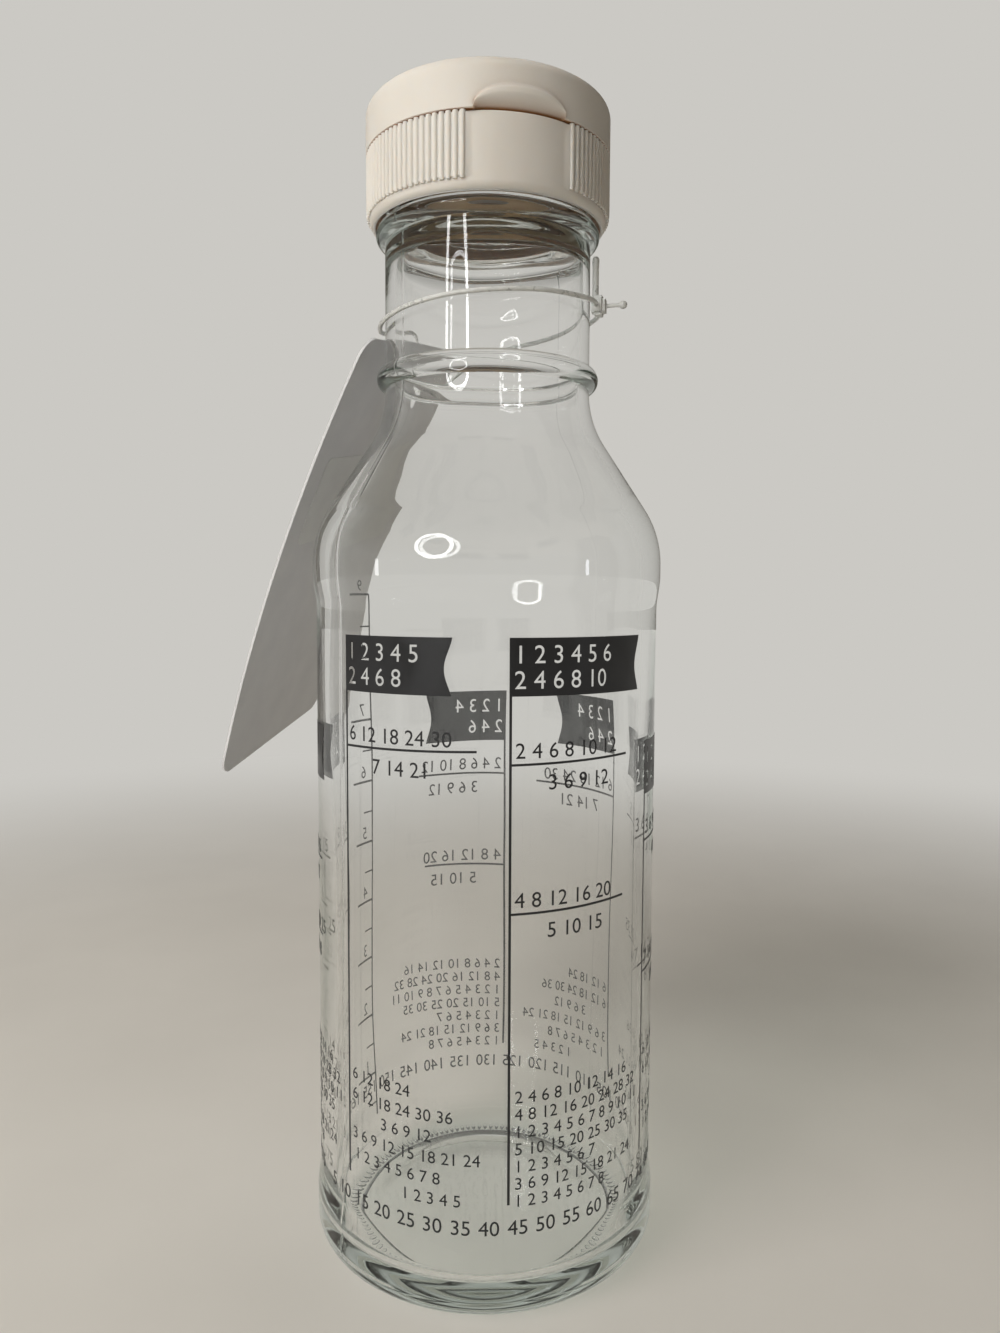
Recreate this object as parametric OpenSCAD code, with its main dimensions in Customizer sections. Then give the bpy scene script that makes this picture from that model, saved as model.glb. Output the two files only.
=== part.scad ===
// Glass dressing shaker bottle with a screw cap, a flip lid and a hang tag.
// Millimetres. The bottle stands on Z = 0 with its axis on Z; the lid's thumb lip faces -Y.

/* [Bottle body] */
// Widest diameter, at the shoulder and at the heel
body_d = 62; // [60:0.5:64]
// How far the printed panel is set back from the shoulder and the heel
panel_recess = 0.6; // [0.2:0.1:0.9]
// Thickness of the side wall
body_wall = 2.7; // [2.2:0.1:3.2]
// Height at which the shoulder starts to turn in
shoulder_z = 122; // [110:1:135]
// Slope of the shoulder, from the vertical
shoulder_tilt = 33; // [30:1:38]
// Radius where the body turns into the shoulder
shoulder_round = 17.5; // [14:0.5:19]
// Radius where the shoulder turns into the neck
throat_round = 17.5; // [14:0.5:19]
// Radius of the heel, at the foot of the body
heel_round = 4.6; // [3.5:0.1:5.5]
// Width of the flat ring that the bottle stands on
foot_w = 2.4; // [1.6:0.1:3.2]
// Rise of the hollow underside at its middle
punt = 2.2; // [1.2:0.1:3]
// Thickness of the glass above the hollow underside
floor_t = 3.2; // [3:0.1:6]

/* [Neck and finish] */
// Diameter of the neck
neck_d = 36.1; // [35.4:0.1:36.8]
// Thickness of the neck wall
neck_wall = 1.7; // [1.4:0.1:2.2]
// Length of the neck, from the throat to the middle of the collar
neck_len = 26.6; // [24:0.2:30]
// Diameter over the ring round the foot of the neck
ring_d = 39.2; // [38.4:0.2:40]
// Height of that ring
ring_h = 3.8; // [3:0.2:4.4]
// Diameter over the collar under the cap
collar_d = 39.2; // [38.8:0.1:39.6]
// Height of the collar
collar_h = 3.2; // [2.6:0.2:3.4]
// Diameter of the finish, at the root of its thread
finish_d = 35; // [34.6:0.1:35.2]
// Height of the finish, from the middle of the collar to the rim
finish_h = 10.6; // [10.2:0.1:11.4]
// Diameter of the bore through the finish
bore_d = 27; // [25:0.5:28]
// Height of the thread's crest above its root
thread_depth = 1.1; // [0.9:0.05:1.15]
// Rise of the thread in one turn
thread_pitch = 4.23; // [4:0.01:4.5]

/* [Screw cap] */
// Diameter over the ribs of the skirt
cap_d = 42.6; // [42.2:0.1:43.4]
// Height of the ribs above the skirt's plain surface
rib_h = 0.6; // [0.4:0.05:0.7]
// Distance from one rib to the next
rib_pitch = 1.16; // [1:0.02:1.5]
// Width of the plain panel at the front, as an angle
panel_angle = 45; // [30:1:60]
// Height of the plain band under the ribs
band_h = 1.9; // [1.4:0.1:2.4]
// Gap between the threaded finish and the inside of the skirt
thread_gap = 0.35; // [0.3:0.05:0.4]
// Thickness of the cap's deck
deck_t = 1.5; // [1.2:0.1:2]
// Thickness of the seal between the deck and the rim
liner_t = 0.7; // [0.5:0.1:1]
// Inner diameter of the pour hole
pour_d = 8; // [6:0.5:9]
// Height of the pour spout above the deck
spout_h = 4; // [3:0.5:4.5]
// Thickness of the spout's wall
spout_wall = 1; // [0.8:0.1:1.4]

/* [Flip lid] */
// Height of the lid
lid_h = 8.2; // [7.8:0.2:9]
// Thickness of the lid's side wall
lid_wall = 1.5; // [1.2:0.1:1.6]
// Thickness of the lid's top
lid_top_t = 1.5; // [1.2:0.1:1.8]
// Radius of the lid's top edge
lid_round = 1.8; // [1:0.1:2.2]
// Depth of the lid's stopper inside the pour hole
stopper_in = 1.5; // [1:0.1:1.8]
// Height of the thumb recess
thumb_h = 3.6; // [3:0.1:4.2]
// Depth of the thumb recess
thumb_depth = 0.9; // [0.6:0.05:1.1]
// Length of the hinge across the back
hinge_len = 11; // [8:0.5:14]
// Diameter of the hinge's rolled edge
hinge_d = 1; // [0.8:0.05:1.2]
// How far the hinge stands out from the lid's wall
hinge_out = 0.6; // [0.5:0.05:0.8]

/* [Hang tag] */
// Width of the card
tag_w = 50; // [40:1:54]
// Length of the card
tag_l = 90; // [80:1:100]
// Thickness of the card
tag_t = 0.45; // [0.3:0.05:0.6]
// Radius of the card's corners
tag_corner = 4; // [2:0.5:8]
// Diameter of the hole in the card
tag_hole_d = 5; // [4.5:0.25:6]
// Distance from the card's top edge to the middle of its hole
tag_hole_in = 10.5; // [9:0.5:11]
// Lean of the card at its hole, from the vertical
tag_lean = 30; // [28:1:32]
// Turn of the card in its own plane
tag_skew = 11; // [9:1:13]
// Radius to which the card is bowed
tag_bow = 370; // [320:10:450]
// Width of the blank sticker on the card
label_w = 38; // [30:1:44]
// Height of the sticker
label_h = 18; // [12:1:24]
// Thickness of the sticker
label_t = 0.12; // [0.08:0.02:0.16]
// Diameter of the nylon filament
loop_d = 0.8; // [0.6:0.1:0.9]
// Width of the lock's head, between the filament's two ends
lock_w = 3; // [2:0.1:3]
// Length of the lock's upright bar
bar_len = 6.2; // [5:0.2:8]

/* [Hidden] */
$fn = 96;

glass_colour = [0.80, 0.86, 0.84, 0.45];
cap_colour = "#e6dccf";
liner_colour = "#d9bd98";
card_colour = "#b9b7b6";
nylon_colour = "#e9e9e6";

// Bottle heights and radii
body_r = body_d / 2;
panel_r = body_r - panel_recess;
neck_r = neck_d / 2;
shoulder_end_r = body_r - shoulder_round * (1 - cos(shoulder_tilt));
throat_start_r = neck_r + throat_round * (1 - cos(shoulder_tilt));
slope_rise = (shoulder_end_r - throat_start_r) / tan(shoulder_tilt);
throat_z = shoulder_z + (shoulder_round + throat_round) * sin(shoulder_tilt) + slope_rise;
panel_ease = 6;
panel_low = heel_round + 10;
panel_high = shoulder_z - 8;
foot_out_r = body_r - heel_round;
floor_z = punt + floor_t;
inner_r = panel_r - body_wall;
floor_round = 3;
ring_z = throat_z + 1.8;
collar_z = throat_z + neck_len;
rim_z = collar_z + finish_h;
finish_r = finish_d / 2;
bore_r = bore_d / 2;
rim_round = 0.6;

// Cap heights and radii
flat_gap = 0.05;
liner_clear = 0.3;
cap_r = cap_d / 2;
plain_r = cap_r - rib_h;
skirt_in_r = finish_r + thread_depth + thread_gap;
skirt_low = collar_z + 1.1;
mouth_r = collar_d / 2 + 0.35;
mouth_h = 1.2;
liner_z = rim_z + flat_gap;
deck_low = liner_z + liner_t + flat_gap;
parting_z = deck_low + deck_t;
rib_low = skirt_low + band_h;
rib_step = rib_pitch / cap_r * 180 / PI;
spout_r = pour_d / 2 + spout_wall;

// Lid heights and radii
parting_gap = 0.1;
lid_low = parting_z + parting_gap;
lid_top = lid_low + lid_h;
lid_in_r = cap_r - lid_wall;
hinge_y = cap_r + hinge_out;
hinge_z = parting_z + parting_gap / 2;
hinge_run = 0.05;
snap_gap = 0.35;

// Threads: the cap's runs half a pitch from the bottle's
thread_start_z = collar_z + collar_h / 2 + 2.6;
thread_sweep = 390;
thread_step = 10;
cap_thread_from = 170;
cap_thread_sweep = 350;
thread_root = 2;
thread_crest = 0.8;
thread_bury = 0.4;

// The tag hangs in a frame of its own, turned about the bottle's axis, with the lock on +X
tag_turn = -30;
lock_r = 19.7;
lock_up = 14;
tag_azimuth = -114;
tag_hole = [-24.1, 15.8, 3.8];
loop_sides = 8;
loop_step = 2.1;
// Route of the filament, from one side of the lock round the neck and through the card's hole
// to its other side; x and y from the bottle's axis, z from the throat
LOOP_ROUTE = [
    [19.7, -1.5, 14], [19.7, -3.5, 14], [18.2, -7, 13.9], [13.4, -13.4, 13.5],
    [6.5, -17.8, 12.9], [-1.6, -18.9, 12.3], [-9.5, -16.4, 11.6], [-15.5, -10.8, 11.1],
    [-18.6, -4.5, 11.1], [-20, 2, 12.2], [-20.4, 8, 13.7], [-21.2, 12.5, 13.7],
    [-22.9, 15.2, 11.2], [-24.8, 15.6, 8.5], [-25.7, 15.7, 6.2], [-25.2, 15.7, 4.5],
    [-24.1, 15.8, 3.8], [-22.9, 15.9, 3.1], [-20.5, 16.4, 2.6], [-17, 17.2, 3.5],
    [-12.5, 17.8, 6.5], [-7.2, 18.2, 9.7], [-0.5, 19, 11.9], [6.5, 17.9, 12.9],
    [12.4, 14.6, 13.5], [17, 9.3, 13.8], [19.3, 5, 14], [19.7, 3.4, 14], [19.7, 1.5, 14]
];

// Points of an arc about a centre, from one angle to another
function arc(centre, radius, from, to, steps) = [
    for (i = [0 : steps])
        let (a = from + (to - from) * i / steps)
        centre + radius * [cos(a), sin(a)]
];

// Points of a half-round ring on a wall, going up
function bead(wall_r, crest_r, mid_z, height) = [
    for (i = [0 : 12])
        let (a = -90 + 15 * i)
        [wall_r + (crest_r - wall_r) * cos(a), mid_z + height / 2 * sin(a)]
];

// Outside of the bottle from the middle of its underside to the rim
function outer_profile() = concat(
    [[0, punt]],
    arc([foot_out_r - foot_w - 1, 0.8], 0.8, 60, -40, 4),
    [[foot_out_r - foot_w, 0], [foot_out_r, 0]],
    arc([foot_out_r, heel_round], heel_round, -80, 0, 10),
    [[body_r, panel_low - panel_ease], [panel_r, panel_low]],
    [[panel_r, panel_high], [body_r, panel_high + panel_ease]],
    arc([body_r - shoulder_round, shoulder_z], shoulder_round, 0, shoulder_tilt, 10),
    arc([neck_r + throat_round, throat_z], throat_round, 180 + shoulder_tilt, 180, 10),
    bead(neck_r, ring_d / 2, ring_z + 0.2, ring_h),
    bead(neck_r, collar_d / 2, collar_z, collar_h),
    [[finish_r, collar_z + collar_h / 2]],
    arc([finish_r - rim_round, rim_z - rim_round], rim_round, 0, 90, 4)
);

// Inside of the bottle from the rim to the middle of its floor
function inner_profile() = concat(
    arc([bore_r + rim_round, rim_z - rim_round], rim_round, 90, 180, 4),
    [[bore_r, collar_z + 0.2]],
    arc([bore_r + 3, collar_z - 0.4], 3, 180, 225, 5),
    [[neck_r - neck_wall, collar_z - 5.4]],
    arc([neck_r - neck_wall + throat_round + 1, throat_z - 1], throat_round + 1,
        180, 180 + shoulder_tilt, 10),
    arc([inner_r - shoulder_round + 1, shoulder_z - 1], shoulder_round - 1,
        shoulder_tilt, 0, 10),
    arc([inner_r - floor_round, floor_z + floor_round], floor_round, 0, -80, 8),
    [[0, floor_z - 0.3]]
);

// One thread ridge as a swept bar: positions, rise and a fade at both ends
module thread_ridge(root_r, crest_r, start_z, from, sweep) {
    steps = ceil(sweep / thread_step);
    fade = 30;
    out = sign(crest_r - root_r);
    points = [
        for (i = [0 : steps])
            let (
                a = from + sweep * i / steps,
                near_end = min(sweep * i / steps, sweep * (1 - i / steps)),
                full = max(0.12, min(1, near_end / fade)),
                tip_r = root_r + (crest_r - root_r) * full,
                z = start_z + thread_pitch * a / 360
            )
            for (corner = [
                [root_r - out * thread_bury, -thread_root / 2],
                [tip_r, -thread_crest / 2],
                [tip_r, thread_crest / 2],
                [root_r - out * thread_bury, thread_root / 2]
            ])
                [corner[0] * cos(a), corner[0] * sin(a), z + corner[1]]
    ];
    sides = [
        for (i = [0 : steps - 1], k = [0 : 3])
            let (n = (k + 1) % 4)
            [4 * i + k, 4 * i + n, 4 * i + 4 + n, 4 * i + 4 + k]
    ];
    triangles = [
        for (q = sides, half = [[0, 1, 2], [0, 2, 3]])
            [q[half[0]], q[half[1]], q[half[2]]]
    ];
    ends = [[3, 2, 1], [3, 1, 0], [4 * steps, 4 * steps + 1, 4 * steps + 2],
        [4 * steps, 4 * steps + 2, 4 * steps + 3]];
    faces = concat(triangles, ends);
    polyhedron(points, out > 0 ? faces : [for (f = faces) [f[2], f[1], f[0]]]);
}

// Blown glass bottle with a continuous thread on its finish
module glass_bottle() {
    color(glass_colour) {
        rotate_extrude()
            polygon(concat(outer_profile(), inner_profile()));
        thread_ridge(finish_r, finish_r + thread_depth, thread_start_z, 0, thread_sweep);
    }
}

// Outline of the ribbed band, ribs all round but for the front panel
function ribbed_outline() =
    let (
        half_panel = panel_angle / 2,
        ribs = floor((360 - panel_angle) / rib_step),
        start = -90 + (360 - ribs * rib_step) / 2
    )
    concat(
        [for (i = [0 : ribs - 1], corner = [
            [0.12, 0], [0.3, 0.75], [0.5, 1], [0.7, 0.75], [0.88, 0]
        ])
            let (a = start + (i + corner[0]) * rib_step, r = plain_r + rib_h * corner[1])
            r * [cos(a), sin(a)]],
        [for (a = [-90 - half_panel + 1 : 2 : -90 + half_panel - 1])
            plain_r * [cos(a), sin(a)]]
    );

// Threaded skirt, deck and pour spout, moulded in one
module screw_cap() {
    color(cap_colour) {
        difference() {
            union() {
                rotate_extrude()
                    polygon(concat(
                        [[mouth_r, skirt_low]],
                        arc([plain_r - 1, skirt_low + 1.2], 1.2, -70, 0, 6),
                        [[plain_r, parting_z], [lid_in_r - snap_gap, parting_z]],
                        [[lid_in_r - snap_gap, parting_z + 1.4]],
                        [[lid_in_r - snap_gap - 1, parting_z + 1.4]],
                        [[lid_in_r - snap_gap - 1, parting_z], [spout_r, parting_z]],
                        [[spout_r, parting_z + spout_h - 0.8]],
                        [[spout_r + 0.3, parting_z + spout_h - 0.3]],
                        [[spout_r + 0.3, parting_z + spout_h]],
                        [[pour_d / 2 + 0.3, parting_z + spout_h]],
                        [[pour_d / 2, parting_z + spout_h - 0.5]],
                        [[pour_d / 2, deck_low], [skirt_in_r, deck_low]],
                        [[skirt_in_r, skirt_low + mouth_h + 0.6], [mouth_r, skirt_low + mouth_h]]
                    ));
                translate([0, 0, rib_low])
                    linear_extrude(parting_z - rib_low)
                        difference() {
                            polygon(ribbed_outline());
                            circle(plain_r - 0.4);
                        }
                hinge_boss(parting_z - 4, parting_z);
            }
            hinge_groove();
        }
        thread_ridge(skirt_in_r, skirt_in_r - thread_depth + 0.1,
            thread_start_z - thread_pitch / 2, cap_thread_from, cap_thread_sweep);
    }
}

// Flat seat for the hinge on the back of the cap or of the lid
module hinge_boss(low, high) {
    translate([-hinge_len / 2, cap_r - 0.8, low])
        cube([hinge_len, hinge_y - cap_r + 0.8, high - low]);
}

// Round groove that clears the rolled edge of the hinge
module hinge_groove() {
    translate([0, hinge_y, hinge_z])
        rotate([0, 90, 0])
            cylinder(d = hinge_d + 2 * hinge_run, h = hinge_len + 2, center = true);
}

// Rolled edge of the moulded hinge, round about the lid's axis
module living_hinge() {
    color(cap_colour)
        translate([0, hinge_y, hinge_z])
            rotate([0, 90, 0])
                cylinder(d = hinge_d, h = hinge_len - 0.4, center = true);
}

// Soft disc between the deck and the rim of the glass, punched for the pour hole
module cap_liner() {
    color(liner_colour)
        translate([0, 0, liner_z])
            difference() {
                cylinder(r = finish_r - 0.1, h = liner_t);
                translate([0, 0, -1])
                    cylinder(r = pour_d / 2 + liner_clear, h = liner_t + 2);
            }
}

// Lid with its stopper, its thumb recess and the lip inside that recess
module flip_lid() {
    arch_half = cap_r * sin(panel_angle / 2 - 1.5);
    arch_r = (arch_half * arch_half + thumb_h * thumb_h) / (2 * thumb_h);
    lip_r = 0.75;
    lip_angle = panel_angle - 8;
    stopper_low = parting_z + spout_h - stopper_in;
    stopper_r = pour_d / 2 - 0.3;
    color(cap_colour)
        difference() {
            union() {
                difference() {
                    rotate_extrude()
                        polygon(concat(
                            [[0, lid_top]],
                            [for (p = arc([cap_r - lid_round, lid_top - lid_round],
                                lid_round, 90, 0, 8)) p],
                            [[cap_r, lid_low], [lid_in_r, lid_low]],
                            [[lid_in_r, lid_top - lid_top_t - 1]],
                            [[lid_in_r - 1, lid_top - lid_top_t], [0, lid_top - lid_top_t]]
                        ));
                    thumb_scoop(arch_r);
                }
                translate([0, 0, stopper_low])
                    cylinder(r1 = stopper_r - 0.5, r2 = stopper_r, h = 0.8);
                translate([0, 0, stopper_low + 0.8])
                    cylinder(r = stopper_r, h = lid_top - lid_top_t / 2 - stopper_low - 0.8);
                rotate([0, 0, -90 - lip_angle / 2])
                    rotate_extrude(angle = lip_angle)
                        translate([cap_r - thumb_depth, lid_low + lip_r])
                            circle(lip_r);
                hinge_boss(lid_low, lid_low + 4);
            }
            hinge_groove();
            translate([0, 0, stopper_low - 1])
                cylinder(r = stopper_r - 1.2, h = lid_top - lid_top_t - stopper_low + 1);
        }
}

// What the thumb recess takes off the lid: an arch, as deep as the recess
module thumb_scoop(arch_r) {
    difference() {
        translate([0, 0, lid_low + thumb_h - arch_r])
            rotate([90, 0, 0])
                cylinder(r = arch_r, h = cap_r + 2);
        translate([0, 0, lid_low - 2 * arch_r])
            cylinder(r = cap_r - thumb_depth, h = 3 * arch_r);
    }
}

// Puts a child in the tag's own frame on the neck
module on_neck() {
    translate([0, 0, throat_z])
        rotate([0, 0, tag_turn])
            children();
}

// Puts a child on the card: x across, y up the card, z out of its outer face
module on_card() {
    on_neck()
        translate(tag_hole)
            rotate([0, 0, tag_azimuth - tag_turn])
                rotate([90 - tag_lean, 0, 0])
                    children();
}

// A bowed sheet with rounded corners: its inner face lies `lift` off the card's inner face
module bowed_sheet(width, height, corner, lift, thickness, middle) {
    intersection() {
        translate([0, 0, -tag_bow])
            rotate([0, 90, 0])
                difference() {
                    cylinder(r = tag_bow + lift + thickness, h = 4 * tag_w, center = true, $fn = 720);
                    cylinder(r = tag_bow + lift, h = 5 * tag_w, center = true, $fn = 720);
                }
        rotate([0, 0, -tag_skew])
            translate([0, middle, -20])
                linear_extrude(30)
                    rounded_rectangle(width, height, corner);
    }
}

// Rectangle with round corners about its middle
module rounded_rectangle(width, height, corner) {
    square([width - 2 * corner, height], center = true);
    square([width, height - 2 * corner], center = true);
    for (x = [-1, 1], y = [-1, 1])
        translate([x * (width / 2 - corner), y * (height / 2 - corner)])
            circle(corner, $fn = 32);
}

// Printed card, bowed where it leans on the shoulder
module hang_tag() {
    color(card_colour)
        on_card()
            difference() {
                bowed_sheet(tag_w, tag_l, tag_corner, 0, tag_t, tag_hole_in - tag_l / 2);
                cylinder(d = tag_hole_d, h = 10, center = true, $fn = 48);
            }
}

// Blank sticker on the card's inner face
module tag_label() {
    color("#d4d2d0")
        on_card()
            bowed_sheet(label_w, label_h, 1.5, -label_t, label_t, -13 - label_h / 2);
}

// Point of the filament's curve between four neighbouring route points
function on_curve(p0, p1, p2, p3, t) =
    0.5 * (2 * p1 + (p2 - p0) * t + (2 * p0 - 5 * p1 + 4 * p2 - p3) * t * t
        + (3 * p1 - p0 - 3 * p2 + p3) * t * t * t);

// The filament's middle line, with even steps along each stretch of the route
function loop_line() =
    let (last = len(LOOP_ROUTE) - 1)
    concat([for (i = [0 : last - 1])
        let (
            p1 = LOOP_ROUTE[i],
            p2 = LOOP_ROUTE[i + 1],
            p0 = i > 0 ? LOOP_ROUTE[i - 1] : 2 * p1 - p2,
            p3 = i < last - 1 ? LOOP_ROUTE[i + 2] : 2 * p2 - p1,
            steps = max(1, round(norm(p2 - p1) / loop_step))
        )
        for (k = [0 : steps - 1]) on_curve(p0, p1, p2, p3, k / steps)],
        [LOOP_ROUTE[last]]);

function unit(v) = v / norm(v);

// Nylon filament as one tube along its route
module tag_loop() {
    line = loop_line();
    last = len(line) - 1;
    points = [
        for (i = [0 : last])
            let (
                ahead = unit(line[min(last, i + 1)] - line[max(0, i - 1)]),
                side = unit(cross(ahead, [0.05, 0.05, 1])),
                up = cross(side, ahead)
            )
            for (k = [0 : loop_sides - 1])
                let (a = 360 * k / loop_sides)
                line[i] + loop_d / 2 * (cos(a) * side + sin(a) * up)
    ];
    walls = [
        for (i = [0 : last - 1], k = [0 : loop_sides - 1])
            let (n = (k + 1) % loop_sides, a = i * loop_sides, b = a + loop_sides)
            for (f = [[a + k, b + n, a + n], [a + k, b + k, b + n]]) f
    ];
    start = [for (k = [0 : loop_sides - 1]) k];
    finish = [for (k = [loop_sides - 1 : -1 : 0]) last * loop_sides + k];
    color(nylon_colour)
        on_neck()
            polyhedron(points, concat(walls, [start, finish]));
}

// Lock of the loop: head, upright bar and tail with a knob
module tag_loop_lock() {
    head_h = 3.3;
    bar_r = 0.55;
    bar_in = 0.4;
    tail_len = 4.4;
    tail_r = 0.35;
    knob_r = 0.65;
    color(nylon_colour)
        on_neck()
            translate([lock_r, 0, lock_up]) {
                translate([-1, -lock_w / 2, -head_h / 2])
                    cube([2.4, lock_w, head_h]);
                translate([-bar_in, 0, 0])
                    cylinder(r = bar_r, h = head_h / 2 + bar_len);
                translate([-bar_in, 0, head_h / 2 + bar_len])
                    sphere(bar_r, $fn = 32);
                rotate([0, 90, 0])
                    cylinder(r = tail_r, h = tail_len);
                translate([tail_len, 0, 0])
                    sphere(knob_r, $fn = 32);
            }
}

glass_bottle();
screw_cap();
cap_liner();
living_hinge();
flip_lid();
tag_loop();
tag_loop_lock();
hang_tag();
tag_label();
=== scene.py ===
"""A glass dressing shaker bottle with a screw cap, a flip lid and a hang tag, in a plain studio.

Every class below is one sub-assembly. Its fields are sizes in millimetres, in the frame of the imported
model: the bottle stands on Z = 0 with its axis on Z, and the lid's thumb lip faces -Y. Meshes are made
in millimetres and stored in metres.
"""

from __future__ import annotations

import logging
import math
from dataclasses import dataclass, field
from enum import Enum
from typing import Callable, Sequence

import bmesh
import bpy
from mathutils import Matrix, Vector


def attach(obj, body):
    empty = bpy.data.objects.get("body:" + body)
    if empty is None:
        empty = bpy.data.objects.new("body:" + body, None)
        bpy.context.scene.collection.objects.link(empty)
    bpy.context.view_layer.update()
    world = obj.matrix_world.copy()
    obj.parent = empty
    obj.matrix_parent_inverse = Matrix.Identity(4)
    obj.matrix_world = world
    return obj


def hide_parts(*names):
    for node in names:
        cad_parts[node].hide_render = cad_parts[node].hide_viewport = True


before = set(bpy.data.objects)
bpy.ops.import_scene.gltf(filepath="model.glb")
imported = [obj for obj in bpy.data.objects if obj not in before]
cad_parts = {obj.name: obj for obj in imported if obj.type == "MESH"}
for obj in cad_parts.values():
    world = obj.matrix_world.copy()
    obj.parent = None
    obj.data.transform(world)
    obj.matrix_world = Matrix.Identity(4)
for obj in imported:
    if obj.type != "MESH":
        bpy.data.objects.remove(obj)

LOG = logging.getLogger("dressing_bottle")
MM = 0.001
# The noise seldom leaves this range, so patterns are stretched from it.
NOISE_LOW, NOISE_HIGH = 0.3, 0.7
# Over this many degrees a screw ridge rises from the wall at its ends.
THREAD_FADE = 30
# Distances from a ridge's middle where its flank starts and ends.
THREAD_FLANK = (0.35, 1.05)
Point2 = tuple[float, float]
Point3 = tuple[float, float, float]
Colour = tuple[float, float, float, float]


class Body(str, Enum):
    """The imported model's bodies that the pieces of this file ride on."""

    BOTTLE = "bottle"
    CAP = "cap"
    LID = "lid"
    LOOP = "loop"
    TAG = "tag"


class Slot(str, Enum):
    """The record's material slots by name; no piece of this file is given one."""

    GLASS = "clear_glass"
    CAP = "cap_plastic"
    NYLON = "nylon"
    CARD = "tag_card"
    STICKER = "sticker_paper"


# Colour


def linear(hex_colour: str, alpha: float = 1.0) -> Colour:
    """Turns an sRGB hex colour into linear values.

    Args:
        hex_colour: Six hex digits after a hash mark.
        alpha: The fourth value of the result.

    Returns:
        Linear red, green, blue and alpha.
    """
    parts = [int(hex_colour[i : i + 2], 16) / 255 for i in (1, 3, 5)]
    red, green, blue = (c / 12.92 if c <= 0.04045 else ((c + 0.055) / 1.055) ** 2.4 for c in parts)
    return (red, green, blue, alpha)


# Materials


def add_node(tree: bpy.types.NodeTree, kind: str, inputs: dict[int | str, object] | None = None,
             **settings: object) -> bpy.types.Node:
    """Adds one node, sets its options and fills or links its inputs.

    Args:
        tree: The node tree to add to.
        kind: The node's type name.
        inputs: Values, or sockets of other nodes, by input name or index.
        **settings: The node's own options.

    Returns:
        The new node.
    """
    node = tree.nodes.new(kind)
    for name, value in settings.items():
        setattr(node, name, value)
    for name, value in (inputs or {}).items():
        if isinstance(value, bpy.types.NodeSocket):
            tree.links.new(value, node.inputs[name])
        else:
            node.inputs[name].default_value = value
    return node


def new_material(name: str) -> tuple[bpy.types.Material, bpy.types.NodeTree]:
    """Starts an empty node material.

    Args:
        name: What the real material is and how it was made.

    Returns:
        The material and its node tree.
    """
    material = bpy.data.materials.new(name)
    material.use_nodes = True
    material.node_tree.nodes.clear()
    return material, material.node_tree


def object_noise(tree: bpy.types.NodeTree, size_mm: float, detail: float = 3.0,
                 stretch: Point3 = (1.0, 1.0, 1.0)) -> bpy.types.NodeSocket:
    """Adds noise on Object coordinates whose blotches have a real size.

    Args:
        tree: The material's node tree.
        size_mm: The width of one blotch, in millimetres.
        detail: How many finer layers the noise has.
        stretch: Scale of the pattern along X, Y and Z.

    Returns:
        The socket of the noise's factor.
    """
    place = add_node(tree, "ShaderNodeTexCoord")
    turn = add_node(tree, "ShaderNodeMapping", {"Vector": place.outputs["Object"], "Scale": stretch})
    return add_node(tree, "ShaderNodeTexNoise", {
        "Vector": turn.outputs[0], "Scale": 1 / (size_mm * MM), "Detail": detail}).outputs[0]


def spread(tree: bpy.types.NodeTree, factor: bpy.types.NodeSocket, low: float, high: float
           ) -> bpy.types.NodeSocket:
    """Maps a 0..1 pattern onto a range, for roughness and the like.

    Args:
        tree: The node tree.
        factor: The pattern's socket.
        low: Value where the pattern is at its usual least.
        high: Value where the pattern is at its usual most.

    Returns:
        The socket that carries the mapped value.
    """
    return add_node(tree, "ShaderNodeMapRange", {
        "Value": factor, "From Min": NOISE_LOW, "From Max": NOISE_HIGH,
        "To Min": low, "To Max": high}).outputs[0]


def two_tone(tree: bpy.types.NodeTree, factor: bpy.types.NodeSocket, first: Colour, second: Colour
             ) -> bpy.types.NodeSocket:
    """Mixes two near colours by a pattern.

    Args:
        tree: The node tree.
        factor: The pattern's socket.
        first: Colour where the pattern is low.
        second: Colour where the pattern is high.

    Returns:
        The colour socket.
    """
    ramp = add_node(tree, "ShaderNodeValToRGB", {0: factor})
    stops = zip(ramp.color_ramp.elements, (NOISE_LOW, NOISE_HIGH), (first, second))
    for stop, place, colour in stops:
        stop.position, stop.color = place, colour
    return ramp.outputs[0]


def bumped(tree: bpy.types.NodeTree, height: bpy.types.NodeSocket, depth_mm: float,
           strength: float = 1.0) -> bpy.types.NodeSocket:
    """Turns a height pattern into a normal.

    Args:
        tree: The node tree.
        height: The pattern's socket.
        depth_mm: Real depth of the relief, in millimetres.
        strength: How much of it is used.

    Returns:
        The normal socket.
    """
    return add_node(tree, "ShaderNodeBump", {
        "Height": height, "Distance": depth_mm * MM, "Strength": strength}).outputs[0]


def finish_material(tree: bpy.types.NodeTree, surface: bpy.types.NodeSocket,
                    volume: bpy.types.NodeSocket | None = None) -> None:
    """Links a surface, and a volume if there is one, to the material's output."""
    links = {"Surface": surface} | ({"Volume": volume} if volume else {})
    add_node(tree, "ShaderNodeOutputMaterial", links)


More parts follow.
